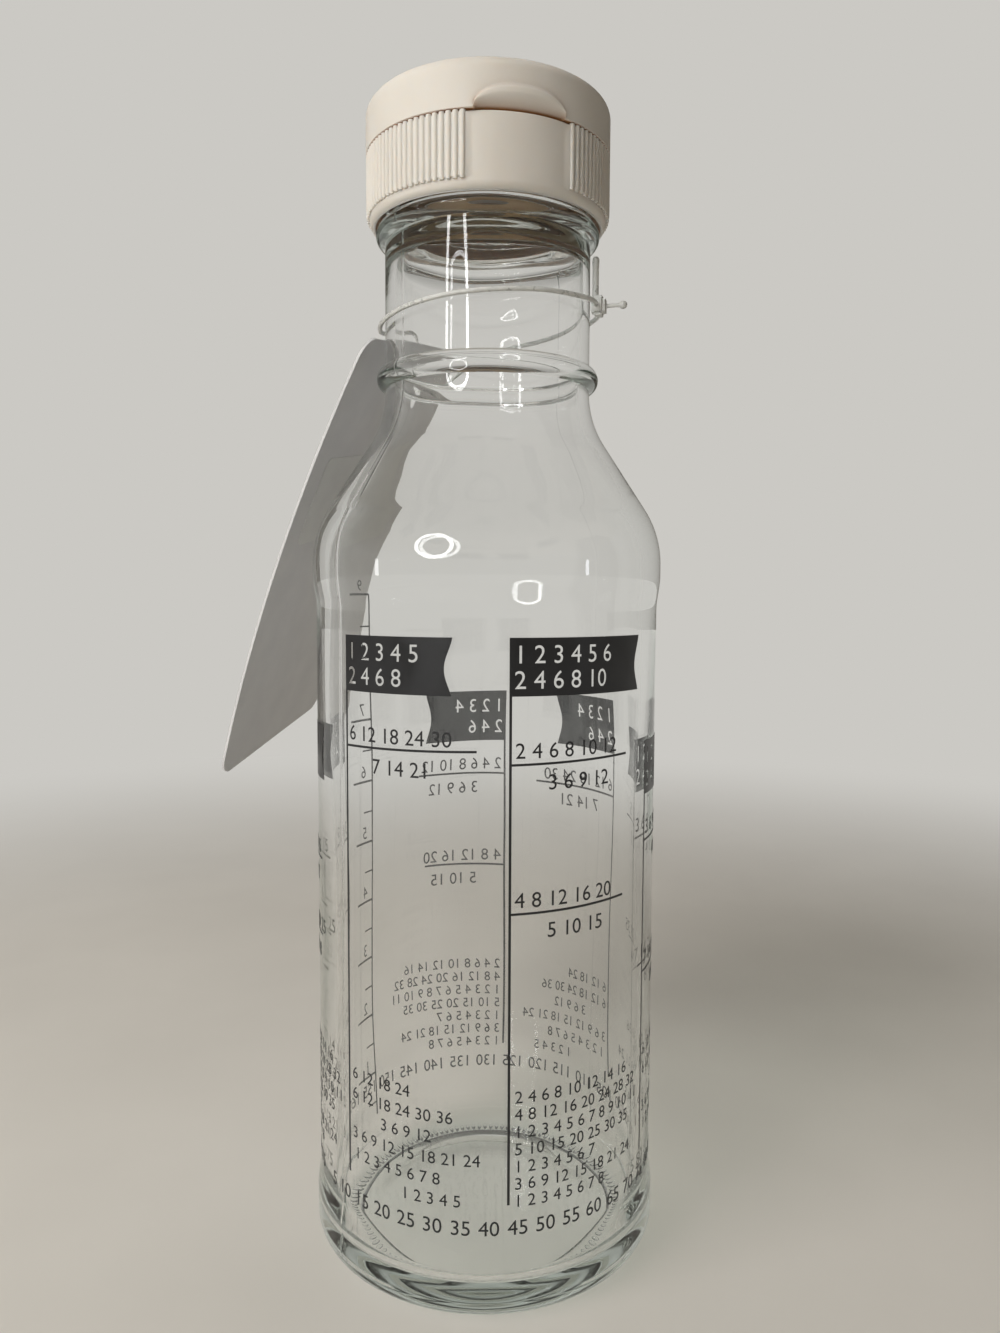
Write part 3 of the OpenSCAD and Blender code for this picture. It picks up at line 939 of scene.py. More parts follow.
    def build(self, glass: bpy.types.Material) -> None:
        """Makes the bottle and its foot's knurl and sets them on the bottle's body.

        Args:
            glass: The bottle's material.
        """
        whole = self.outer() + self.inner()
        line = refined(whole, self.longest) + whole[-1:]
        shell = lathe("bottle_glass", line, self.columns(), shape=self.relief)
        dress(shell, glass, Body.BOTTLE, ["glass_bottle"])
        middle = self.body_r - self.heel_round - self.foot_w / 2
        knurl = knurl_tree(glass).bake(
            "foot_knurl", Ridge_count=self.ridge_count, Ridge_radius=self.ridge_r * MM,
            Ridge_length=self.ridge_len * MM, Ring_radius=middle * MM, Ring_height=self.ridge_r * MM)
        dress(knurl, glass, Body.BOTTLE)


# Measuring print


@dataclass
class MeasurePrint:
    """The black print on the panel: a mixing chart in six columns, and a fluid scale.

    Every sign is a rule, a tick or a plain number. A column's head is a black block in which the
    numbers are left clear, and a row holds the multiples of one amount.
    """

    radius: float = 30.4
    lift: float = 0.015
    film: float = 0.03
    columns: tuple[float, ...] = (-117.4, -62.4, -7.4, 47.6, 102.6, 157.6)
    rule_low: float = 20.2
    rule_w: float = 0.42
    last_row_z: float = 19.8
    rows_span: float = 17.0
    row_figure_h: float = 1.95
    fill_figure_h: float = 2.4
    head_figure_h: float = 2.75
    scale_azimuth: float = -139.7
    scale_low: float = 10.3
    mark_step: float = 12.15
    zero_z: float = 6.9
    ring_z: float = 15.2
    ring_figure_h: float = 2.4
    ring_start: float = -74.0
    cap_share: float = 0.69
    strip_angle: float = 2.5
    indent: float = 0.7
    head_figure_step: float = 3.7
    fill_w: float = 0.38
    second_place: Point2 = (6.0, -4.0)
    ruled: bmesh.types.BMesh = field(default_factory=bmesh.new)
    figures: bmesh.types.BMesh = field(default_factory=bmesh.new)

    def across(self, azimuth: float) -> float:
        """Gives the place across the flat sheet of an azimuth, counted from -Y towards +X."""
        return math.radians(azimuth) * self.radius

    def shape(self, points: Sequence[Point2]) -> None:
        """Adds one flat outline, in millimetres across and up."""
        self.ruled.faces.new([self.ruled.verts.new((x, z, 0)) for x, z in points])

    def line(self, x0: float, z0: float, x1: float, z1: float, width: float) -> None:
        """Adds a straight stroke with square ends."""
        length = math.dist((x0, z0), (x1, z1))
        dx, dz = -(z1 - z0) / length * width / 2, (x1 - x0) / length * width / 2
        self.shape([(x0 - dx, z0 - dz), (x1 - dx, z1 - dz), (x1 + dx, z1 + dz), (x0 + dx, z0 + dz)])

    @staticmethod
    def multiples(amount: int, count: int) -> str:
        """Gives the first multiples of an amount, with spaces between them."""
        return " ".join(str(amount * i) for i in range(1, count + 1))

    def flat_figures(self, text: str, x: float, z: float, height: float) -> bpy.types.Mesh:
        """Makes plain numbers as flat faces.

        Args:
            text: Digits and spaces.
            x: Place of their left end across the sheet.
            z: Height of their baseline.
            height: Height of the digits.

        Returns:
            A mesh in millimetres, which the caller removes.
        """
        curve = bpy.data.curves.new("figures", "FONT")
        curve.body = text
        curve.size = height / self.cap_share
        curve.resolution_u = 4
        host = placed("figures", curve)
        graph = bpy.context.evaluated_depsgraph_get()
        flat = bpy.data.meshes.new_from_object(host.evaluated_get(graph))
        flat.transform(Matrix.Translation((x, z, 0)))
        bpy.data.objects.remove(host)
        bpy.data.curves.remove(curve)
        return flat

    def write(self, text: str, x: float, z: float, height: float) -> float:
        """Adds plain numbers to the sheet and gives the place of their right end."""
        flat = self.flat_figures(text, x, z, height)
        end = max(v.co.x for v in flat.vertices)
        self.figures.from_mesh(flat)
        bpy.data.meshes.remove(flat)
        return end

    def head(self, x0: float, x1: float, z0: float, z1: float) -> None:
        """Adds a column's head: a block waved like a flag at its right, with numbers left clear.

        Args:
            x0: Its left edge.
            x1: Middle of its waved right edge.
            z0: Its lower edge.
            z1: Its upper edge.
        """
        size = self.head_figure_h
        count = int((x1 - x0) / self.head_figure_step)
        block = bmesh.new()
        gap = (z1 - z0 - 2 * size) / 3
        for amount, places, base in ((1, count, z1 - gap - size), (2, count - 1, z0 + gap)):
            flat = self.flat_figures(self.multiples(amount, places), x0 + self.indent, base, size)
            block.from_mesh(flat)
            bpy.data.meshes.remove(flat)
        bmesh.ops.remove_doubles(block, verts=block.verts, dist=1e-5)
        inside = [e for e in block.edges if len(e.link_faces) != 1]
        bmesh.ops.delete(block, geom=block.faces[:], context="FACES_ONLY")
        bmesh.ops.delete(block, geom=inside, context="EDGES")
        rows = (i / 12 for i in range(13))
        edge = [(x1 + 0.7 * math.sin(math.pi * 1.6 * t + 2.4), z0 + (z1 - z0) * t) for t in rows]
        verts = [block.verts.new((x, z, 0)) for x, z in [(x0, z0)] + edge + [(x0, z1)]]
        for a, b in zip(verts, verts[1:] + verts[:1]):
            block.edges.new((a, b))
        bmesh.ops.triangle_fill(block, use_beauty=True, use_dissolve=False, edges=block.edges[:])
        flat = bpy.data.meshes.new("head")
        block.to_mesh(flat)
        block.free()
        self.ruled.from_mesh(flat)
        bpy.data.meshes.remove(flat)

    def column(self, azimuth: float, head: tuple[float, float, float],
               fills: Sequence[tuple[float, int, int, float]],
               rows: Sequence[tuple[int, int, float]]) -> None:
        """Adds one column of the chart.

        Args:
            azimuth: Where its rule stands.
            head: Low and high edge of its block, and the block's width.
            fills: For each fill line its height, its amount, how many multiples, and its length.
            rows: For each row at the foot its amount, how many multiples, and its indent.
        """
        x = self.across(azimuth)
        low, high, width = head
        self.line(x, self.rule_low, x, high, self.rule_w)
        self.head(x - 0.2, x + width, low, high)
        for z, amount, count, length in fills:
            self.line(x, z, x + length, z + 0.4, self.fill_w)
            self.write(self.multiples(amount, count), x + self.indent, z + 1.0, self.fill_figure_h)
            self.write(self.multiples(amount + 1, count - 2), x + self.second_place[0],
                       z + self.second_place[1], self.fill_figure_h)
        for index, (amount, count, indent) in enumerate(rows):
            z = self.last_row_z + self.rows_span * (1 - index / (len(rows) - 1))
            self.write(self.multiples(amount, count), x + 0.9 + indent, z, self.row_figure_h)

    def scale(self) -> None:
        """Adds the fluid scale: an upright line, nine ticks and the numbers one to nine."""
        x = self.across(self.scale_azimuth)
        self.line(x, self.scale_low, x, self.zero_z + 9 * self.mark_step, self.rule_w)
        for mark in range(1, 10):
            z = self.zero_z + mark * self.mark_step
            self.line(x, z, x + 6.6, z, self.rule_w)
            self.write(str(mark), x + 2.0, z + 0.8, self.fill_figure_h)
            self.line(x, z - self.mark_step / 2, x + 3.0, z - self.mark_step / 2, 0.3)

    def number_ring(self) -> None:
        """Adds the ring of counting numbers round the foot of the panel."""
        x = self.across(self.ring_start)
        end = self.across(self.ring_start + 356)
        mark = 5
        while x < end - 6.0:
            x = self.write(str(mark), x, self.ring_z, self.ring_figure_h) + 1.3
            mark += 5

    def draw(self) -> None:
        """Lays out the whole print on the flat sheet."""
        six = ((6, 4, 0.0), (6, 6, 0.0), (3, 4, 6.5), (3, 8, 0.0), (1, 8, 0.6), (1, 5, 10.6))
        seven = tuple((amount, count, 0.0) for amount, count in (
            (2, 8), (4, 8), (1, 11), (5, 7), (1, 7), (3, 8), (1, 8)))
        heads = ((85.0, 94.4, 19.5), (101.2, 110.2, 19.6), (101.2, 110.2, 25.0), (83.0, 92.2, 20.0),
                 (85.6, 96.2, 16.5), (85.6, 96.2, 18.0))
        fills = (((70.5, 3, 5, 18.0), (57.0, 5, 5, 18.0)), ((92.3, 6, 5, 24.0),),
                 ((90.6, 2, 6, 22.0), (67.2, 4, 5, 21.5)), ((75.0, 3, 5, 20.0), (52.0, 7, 5, 18.0)),
                 ((77.0, 6, 5, 22.0),), ((78.5, 2, 6, 20.0), (59.0, 4, 5, 18.0)))
        rows = (seven, six, seven, six, six, seven)
        for azimuth, head, fill, row in zip(self.columns, heads, fills, rows):
            self.column(azimuth, head, fill, row)
        self.scale()
        self.number_ring()

    def wrap(self) -> bpy.types.Object:
        """Cuts the long marks into strips, bends the sheet round the panel and thickens it.

        Returns:
            The print as one closed mesh for each mark.
        """
        sheet = self.ruled
        low, high = -142.0, 290.0
        steps = int((high - low) / self.strip_angle)
        for i in range(steps + 1):
            cut(sheet, (self.across(low + (high - low) * i / steps), 0, 0), (1, 0, 0))
        flat = bpy.data.meshes.new("figures")
        self.figures.to_mesh(flat)
        self.figures.free()
        sheet.from_mesh(flat)
        bpy.data.meshes.remove(flat)
        bmesh.ops.remove_doubles(sheet, verts=sheet.verts, dist=1e-4)
        top = thicken(sheet)
        for vertex in sheet.verts:
            r = self.radius + self.lift + (self.film if vertex in top else 0.0)
            a = vertex.co.x / self.radius
            vertex.co = Vector((r * math.sin(a), -r * math.cos(a), vertex.co.y)) * MM
        return keep("panel_print", sheet)

    def build(self, ink: bpy.types.Material) -> None:
        """Makes the print and sets it on the bottle.

        Args:
            ink: The fired black ink.
        """
        self.draw()
        dress(self.wrap(), ink, Body.BOTTLE)


# Cap and lid


@dataclass
class ClosureSizes:
    """Sizes that the cap, its lid and the hinge share."""

    crest_r: float = 21.3
    plain_r: float = 20.7
    skirt_low: float = 180.009
    parting_z: float = 191.809
    parting_gap: float = 0.1
    lid_h: float = 8.2
    lid_wall: float = 1.5
    hinge_len: float = 11.0
    hinge_d: float = 1.0
    hinge_y: float = 21.9
    hinge_clear: float = 0.05
    seat_in: float = 0.7

    @property
    def lid_low(self) -> float:
        """Height of the lid's lower edge."""
        return self.parting_z + self.parting_gap

    @property
    def lid_top(self) -> float:
        """Height of the lid's top."""
        return self.lid_low + self.lid_h

    @property
    def hinge_z(self) -> float:
        """Height of the hinge's axis."""
        return self.parting_z + self.parting_gap / 2


def hinge_seat(name: str, sizes: ClosureSizes, low: float, high: float) -> bpy.types.Object:
    """Makes the flat seat of the hinge, with its groove and rounded corners.

    Args:
        name: The new object's name.
        sizes: The closure's sizes.
        low: Its lower edge.
        high: Its upper edge.

    Returns:
        The seat, in metres.
    """
    inner, outer = sizes.crest_r - sizes.seat_in, sizes.hinge_y
    groove = sizes.hinge_d / 2 + sizes.hinge_clear
    above = high > sizes.hinge_z
    turn = arc((outer, sizes.hinge_z), groove, 90 if above else 270, 180, 6)
    far = high if above else low
    near = low if above else high
    back = -1 if above else 1
    section = [(inner, near)] + [p for p in reversed(turn) if (p[1] >= near if above else p[1] <= near)]
    # The free edge is rounded by two short slopes.
    section += [(outer, far + 0.5 * back), (outer - 0.35, far + 0.12 * back), (outer - 0.7, far),
                (inner, far)]
    mesh = bmesh.new()
    ends = [[mesh.verts.new((x * MM, y * MM, z * MM)) for y, z in section]
            for x in (-sizes.hinge_len / 2, sizes.hinge_len / 2)]
    join_rows(mesh, ends)
    for end in ends:
        mesh.faces.new(end)
    return keep(name, mesh, 30.0)


@dataclass
class ScrewCap:
    """The threaded skirt, its grip ribs, its deck and its spout."""

    sizes: ClosureSizes
    panel_angle: float = 45.0
    rib_pitch: float = 1.16
    rib_r: float = 0.5
    bed_h: float = 0.3
    band_h: float = 1.9
    skirt_in_r: float = 18.95
    mouth_r: float = 19.95
    deck_low: float = 190.309
    spout_r: float = 5.0
    pour_r: float = 4.0
    spout_h: float = 4.0
    spout_foot: float = 0.6
    lip_round: float = 0.3
    ring_gap: float = 0.35
    ring_w: float = 1.0
    ring_h: float = 1.1
    top_round: float = 0.25
    thread_start: float = 183.109
    thread_sweep: tuple[float, float] = (170.0, 520.0)
    pitch: float = 4.23
    thread_depth: float = 1.0
    foot_round: Point2 = (1.3, 1.5)

    def section(self) -> list[Point2]:
        """Gives the closed section of skirt, deck and spout."""
        s = self.sizes
        ring = s.crest_r - s.lid_wall - self.ring_gap
        ring_in = ring - self.ring_w
        ring_top, band = s.parting_z + self.ring_h, s.skirt_low + self.band_h
        edge, foot, turn = self.top_round, self.spout_foot, self.lip_round
        across, up = self.foot_round
        top = s.parting_z + self.spout_h
        line = [(self.mouth_r, s.skirt_low)]
        line += arc((s.plain_r - across, s.skirt_low + up), self.foot_round, -78, 0, 10)
        line += [(s.plain_r, band - 0.1), (s.plain_r, band + 0.1)]
        line += arc((s.plain_r - edge, s.parting_z - edge), edge, 0, 90, 4)
        line += [(ring, s.parting_z)] + arc((ring - turn, ring_top), turn, 0, 90, 4)
        line += arc((ring_in + turn, ring_top), turn, 90, 180, 4) + [(ring_in, s.parting_z)]
        line += arc((self.spout_r + foot, s.parting_z + foot), foot, 270, 180, 4)
        line += [(self.spout_r, top - 3 * turn)] + arc((self.spout_r, top - turn), turn, -20, 90, 6)
        line += arc((self.pour_r + turn, top - turn), turn, 90, 180, 4) + [(self.pour_r, self.deck_low)]
        return line + [(self.skirt_in_r, self.deck_low), (self.skirt_in_r, s.skirt_low + 1.8),
                       (self.mouth_r, s.skirt_low + 1.2)]

    def relief(self, degrees: float, radius: float, height: float) -> float:
        """Raises the bed between the ribs and the cap's own thread inside the skirt."""
        s = self.sizes
        off = abs((degrees + 90 + 180) % 360 - 180)
        if abs(radius - s.plain_r) < 0.01 and s.skirt_low + self.band_h < height < s.parting_z:
            return radius + (self.bed_h if off > self.panel_angle / 2 + 0.6 else 0.0)
        if abs(radius - self.skirt_in_r) > 0.02 or height > self.deck_low - 0.2:
            return radius
        return radius - self.thread_depth * thread_share(
            degrees, height, self.thread_start - self.pitch / 2, self.pitch, *self.thread_sweep)

    def longest(self, a: Point2, b: Point2) -> float:
        """Gives the longest step of the section between two points: fine in the threaded bore."""
        return 0.25 if all(abs(p[0] - self.skirt_in_r) < 0.01 for p in (a, b)) else 2.5

    def build(self, plastic: bpy.types.Material) -> None:
        """Makes the skirt, the ribs and the hinge seat.

        Args:
            plastic: The cap's plastic.
        """
        s = self.sizes
        whole = self.section()
        line = refined(whole + whole[:1], self.longest)
        skirt = lathe("cap_skirt", line, even_angles(192), ring=True, shape=self.relief)
        dress(skirt, plastic, Body.CAP, ["screw_cap"])
        step = self.rib_pitch / s.crest_r
        count = int((math.tau - math.radians(self.panel_angle)) / step)
        start = -math.pi / 2 + (math.tau - (count - 1) * step) / 2
        low = s.skirt_low + self.band_h - 0.3
        ribs = rib_tree(plastic).bake(
            "cap_grip_ribs", Rib_count=count, Start_angle=start, Angle_step=step,
            Ring_radius=(s.crest_r - self.rib_r) * MM, Rib_radius=self.rib_r * MM,
            Rib_height=(s.parting_z - low) * MM, Base_height=low * MM)
        dress(ribs, plastic, Body.CAP)
        seat = hinge_seat("cap_hinge_seat", s, s.parting_z - 4, s.parting_z)
        dress(seat, plastic, Body.CAP)
        finish_node("living_hinge", plastic)


@dataclass
class FlipLid:
    """The lid with its proud, undercut lip for the thumb and the stopper under its top."""

    sizes: ClosureSizes
    edge_round: float = 1.8
    top_t: float = 1.5
    panel_angle: float = 45.0
    thumb_h: float = 3.7
    undercut: float = 1.3
    brow: float = 0.5
    crest_share: float = 0.36
    arch_power: float = 2.6
    under_power: float = 1.5
    lip_angle: float = 26.0
    low_round: float = 0.15
    roof_round: float = 1.2
    stopper_r: float = 3.7
    stopper_wall: float = 1.2
    stopper_root: float = 0.5
    stopper_in: float = 1.5
    spout_h: float = 4.0

    def profile(self) -> list[Point2]:
        """Gives the section from the middle of the top round to the middle of the underside."""
        s = self.sizes
        r, low, top = s.crest_r, s.lid_low, s.lid_top
        inner = r - s.lid_wall
        under = top - self.top_t
        tip = s.parting_z + self.spout_h - self.stopper_in
        plug, plug_in, root = self.stopper_r, self.stopper_r - self.stopper_wall, self.stopper_root
        turn, foot, roof = self.edge_round, self.low_round, self.roof_round
        line: list[Point2] = [(0.0, top), (8.0, top), (15.0, top), (r - turn - 0.6, top - 0.02)]
        line += arc((r - turn, top - turn), turn, 84, 0, 12)
        line += resampled([(r, top - turn - 0.1), (r, low + foot)], 0.16)
        line += [(r - foot, low), (inner + foot, low), (inner, low + foot)]
        line += [(inner, under - roof)] + arc((inner - roof, under - roof), roof, 0, 90, 6)
        line += [(plug + root, under)] + arc((plug + root, under - root), root, 90, 180, 4)
        return line + [(plug, tip + 0.8), (plug - 0.2, tip + 0.25), (plug - 0.5, tip), (plug_in, tip),
                       (plug_in, under), (0.0, under)]

    def columns(self) -> list[float]:
        """Gives the angles of the columns, close together where the thumb recess is."""
        fine = [-90 - 25 + 0.5 * i for i in range(101)] + [-90 + side * (20.6 + 0.1 * i)
                                                            for side in (-1, 1) for i in range(9)]
        coarse = [-65 + 2.5 * i for i in range(1, 124)]
        return sorted({round(a % 360, 3) for a in fine + [c for c in coarse if c < 245 - 1]})

    def relief(self, degrees: float, radius: float, height: float) -> float:
        """Raises the arched lip for the thumb and cuts the wall away under it.

        Args:
            degrees: Angle round the axis.
            radius: Plain radius.
            height: Height.

        Returns:
            The real radius.
        """
        s = self.sizes
        off = (degrees + 90 + 180) % 360 - 180
        half = s.crest_r * math.sin(math.radians(self.panel_angle / 2 - 1.5))
        x = abs(s.crest_r * math.sin(math.radians(off)))
        if abs(off) > self.lip_angle or x >= half or radius < s.crest_r - 0.3:
            return radius
        arch = self.thumb_h * (1 - (x / half) ** self.arch_power) ** 0.5
        under = s.lid_low + arch - height
        ends = smooth(0.0, 0.3, half - x)
        share = under / max(0.3, arch)
        if share < self.crest_share:
            return radius + self.brow * ends * smooth(-0.07, 0.2, share)
        turned = min(1.0, (share - self.crest_share) / (1 - self.crest_share))
        roll = 1 - turned ** self.under_power
        return radius + ends * ((self.brow + self.undercut) * roll - self.undercut)

    def build(self, plastic: bpy.types.Material) -> None:
        """Makes the lid and its hinge seat.

        Args:
            plastic: The lid's plastic.
        """
        s = self.sizes
        lid = lathe("flip_lid_shell", self.profile(), self.columns(), shape=self.relief)
        dress(lid, plastic, Body.LID, ["flip_lid"])
        seat = hinge_seat("lid_hinge_seat", s, s.lid_low, s.lid_low + 4)
        dress(seat, plastic, Body.LID)


# Hang tag


@dataclass
class TagPlace:
    """Where the tag's own frames stand: on the neck, and on the card."""

    throat_z: float
    turn: float = -30.0
    azimuth: float = -114.0
    lean: float = 30.0
    hole: Point3 = (-24.1, 15.8, 3.8)

    def on_neck(self) -> Matrix:
        """Gives the neck's frame, with the lock on its +X."""
        turn = Matrix.Rotation(math.radians(self.turn), 4, "Z")
        return Matrix.Translation((0, 0, self.throat_z)) @ turn

    def on_card(self) -> Matrix:
        """Gives the card's frame: x across, y up the card, z out of its outer face."""
        return (self.on_neck() @ Matrix.Translation(self.hole)
                @ Matrix.Rotation(math.radians(self.azimuth - self.turn), 4, "Z")
                @ Matrix.Rotation(math.radians(90 - self.lean), 4, "X"))


@dataclass
class NylonLoop:
    """The fastener: a filament round the neck and through the card, and its lock."""

    place: TagPlace
    diameter: float = 0.8
    step: float = 1.0
    lock_at: Point3 = (19.7, 0.0, 14.0)
    paddle: tuple[Point2, ...] = ((0.0, -0.5), (0.55, -0.5), (0.55, 6.9), (0.62, 7.3), (0.6, 7.9),
                                  (0.42, 8.3), (0.0, 8.4))
    tail: tuple[Point2, ...] = ((0.0, -0.2), (0.42, -0.2), (0.35, 1.8), (0.32, 3.7), (0.6, 4.05),
                                (0.68, 4.4), (0.6, 4.8), (0.3, 5.05), (0.0, 5.1))
    route: tuple[Point3, ...] = (
        (19.7, -1.5, 14), (19.7, -3.5, 14), (18.2, -7, 13.9), (13.4, -13.4, 13.5),
        (6.5, -17.8, 12.9), (-1.6, -18.9, 12.3), (-9.5, -16.4, 11.6), (-15.5, -10.8, 11.1),
        (-18.6, -4.5, 11.1), (-20, 2, 12.2), (-20.4, 8, 13.7), (-21.2, 12.5, 13.7),
        (-22.9, 15.2, 11.2), (-24.8, 15.6, 8.5), (-25.7, 15.7, 6.2), (-25.2, 15.7, 4.5),
        (-24.1, 15.8, 3.8), (-22.9, 15.9, 3.1), (-20.5, 16.4, 2.6), (-17, 17.2, 3.5),
        (-12.5, 17.8, 6.5), (-7.2, 18.2, 9.7), (-0.5, 19, 11.9), (6.5, 17.9, 12.9),
        (12.4, 14.6, 13.5), (17, 9.3, 13.8), (19.3, 5, 14), (19.7, 3.4, 14), (19.7, 1.5, 14))

    def middle_line(self) -> list[Vector]:
        """Gives the filament's middle line, in metres."""
        route = [Vector(p) for p in self.route]
        last = len(route) - 1
        line: list[Vector] = []
        for i in range(last):
            p1, p2 = route[i], route[i + 1]
            p0 = route[i - 1] if i else 2 * p1 - p2
            p3 = route[i + 2] if i < last - 1 else 2 * p2 - p1
            steps = max(1, round((p2 - p1).length / self.step))
            for k in range(steps):
                t = k / steps
                line.append(0.5 * (2 * p1 + (p2 - p0) * t + (2 * p0 - 5 * p1 + 4 * p2 - p3) * t ** 2
                                   + (3 * p1 - p0 - 3 * p2 + p3) * t ** 3))
        line.append(route[last])
        frame_on_neck = self.place.on_neck()
        return [(frame_on_neck @ p) * MM for p in line]

    def filament(self, line: Sequence[Vector]) -> bpy.types.Object:
        """Makes the filament as one round curve along its middle line."""
        curve = bpy.data.curves.new("tag_filament", "CURVE")
        curve.dimensions = "3D"
        curve.bevel_depth = self.diameter / 2 * MM
        curve.bevel_resolution = 4
        curve.use_fill_caps = True
        spline = curve.splines.new("POLY")
        spline.points.add(len(line) - 1)
        for point, where in zip(spline.points, line):
            point.co = (*where, 1.0)
        spline.use_smooth = True
        return placed("tag_filament", curve)

    def lock(self) -> bpy.types.Object:
        """Makes the lock: a rounded head, an upright paddle bar and a tail with a knob."""
        mesh = bmesh.new()
        head = bmesh.ops.create_cube(mesh, size=1.0, matrix=Matrix.Translation((0.2, 0, 0))
                                     @ Matrix.Diagonal((2.4, 3.0, 3.3, 1)))["verts"]
        edges = list({e for v in head for e in v.link_edges})
        bmesh.ops.bevel(mesh, geom=edges, offset=0.55, segments=4, affect="EDGES")
        self.turned(mesh, self.paddle,
                    Matrix.Translation((-0.4, 0, 0)) @ Matrix.Diagonal((1.0, 1.15, 1, 1)))
        self.turned(mesh, self.tail, Matrix.Rotation(math.pi / 2, 4, "Y"))
        matrix = Matrix.Scale(MM, 4) @ self.place.on_neck() @ Matrix.Translation(self.lock_at)
        bmesh.ops.transform(mesh, matrix=matrix, verts=mesh.verts)
        return keep("tag_lock", mesh, 50.0)

    def turned(self, mesh: bmesh.types.BMesh, profile: Sequence[Point2], matrix: Matrix) -> None:
        """Adds a small turned form to a mesh.

        Args:
            mesh: The mesh to add to, in millimetres.
            profile: Radius and height from end to end, on the axis at both.
            matrix: Where the form stands.
        """
        rows = []
        for radius, height in profile:
            angles = [math.radians(a) for a in even_angles(16 if radius else 1)]
            spots = [Vector((radius * math.cos(a), radius * math.sin(a), height)) for a in angles]
            rows.append([mesh.verts.new(matrix @ spot) for spot in spots])
        join_rows(mesh, rows)

    def build(self, nylon: bpy.types.Material) -> None:
        """Args:
            nylon: Their material.
        """
        line = self.middle_line()
        filament = dress(self.filament(line), nylon, Body.LOOP, ["tag_loop"])
        lock = dress(self.lock(), nylon, Body.LOOP, ["tag_loop_lock"])


@dataclass
class HangTag:
    """The bowed card with its punched hole and the blank sticker on its inner face."""

    place: TagPlace
    width: float = 50.0
    length: float = 90.0
    thickness: float = 0.45
    corner: float = 4.0
    hole_r: float = 2.5
    hole_in: float = 10.5
    skew: float = 11.0
    bow: float = 370.0
    label_w: float = 38.0
    label_h: float = 18.0
    label_t: float = 0.12
    label_corner: float = 1.5
    label_top: float = -13.0
    grid: tuple[float, float] = (5.0, 2.5)

    def bowed(self, name: str, width: float, length: float, corner: float, middle: float,
              inner: float, thickness: float, hole: float = 0.0) -> bpy.types.Object:
        """Makes a thin sheet bowed like the card.

        Args:
            name: The new object's name.
            width: Width.
            length: Length.
            corner: Radius of its corners.
            middle: Place of its middle along the card, from the hole.
            inner: Height of its inner face over the card's inner face.
            thickness: Thickness.
            hole: Radius of the punched hole, or 0.

        Returns:
            The sheet, in metres.
        """
        mesh = bmesh.new()
        outline: list[Point2] = []
        w, h = width / 2 - corner, length / 2 - corner
        for cx, cy, start in ((w, h, 0), (-w, h, 90), (-w, -h, 180), (w, -h, 270)):
            outline += arc((cx, cy + middle), corner, start, start + 90, 8)
        rings = [outline] + ([arc((0.0, 0.0), hole, 0, 352.5, 47)] if hole else [])
        edges = []
        for ring in rings:
            verts = [mesh.verts.new((x, y, 0)) for x, y in ring]
            edges += [mesh.edges.new((a, b)) for a, b in zip(verts, verts[1:] + verts[:1])]
        bmesh.ops.triangle_fill(mesh, use_beauty=True, use_dissolve=False, edges=edges)
        across, along = self.grid
        for i in range(1, int(length / along)):
            cut(mesh, (0, middle - length / 2 + along * i, 0), (0, 1, 0))
        for i in range(1, int(width / across)):
            cut(mesh, (-width / 2 + across * i, 0, 0), (1, 0, 0))
        top = thicken(mesh)
        tilt = Matrix.Rotation(math.radians(-self.skew), 3, "Z")
        to_world = Matrix.Scale(MM, 4) @ self.place.on_card()
        for vertex in mesh.verts:
            lift = inner + (thickness if vertex in top else 0.0)
            flat = tilt @ vertex.co
            rise = math.sqrt((self.bow + lift) ** 2 - flat.y ** 2) - self.bow
            vertex.co = to_world @ Vector((flat.x, flat.y, rise))
        return keep(name, mesh, 30.0)

    def build(self, card: bpy.types.Material, paper: bpy.types.Material) -> None:
        """Makes the card and its sticker.

        Args:
            card: The card's material.
            paper: The sticker's material.
        """
        sheet = self.bowed("tag_card", self.width, self.length, self.corner,
                           self.hole_in - self.length / 2, 0.0, self.thickness, self.hole_r)
        label = self.bowed("tag_sticker", self.label_w, self.label_h, self.label_corner,
                           self.label_top - self.label_h / 2, -self.label_t, self.label_t)
        dress(sheet, card, Body.TAG, ["hang_tag"])
        dress(label, paper, Body.TAG, ["tag_label"])


# Studio


@dataclass(frozen=True)
class Lamp:
    """A soft rectangular lamp that faces the bottle.

    It stands at an azimuth in degrees from -Y towards +X, an elevation over the horizon and a
    distance in metres. Its size is width and height in metres, and mirrored says whether glass and
    gloss show it.
    """

    name: str
    azimuth: float
    elevation: float
    distance: float
    size: Point2
    watts: float
    colour: str = "#ffffff"
    mirrored: bool = False


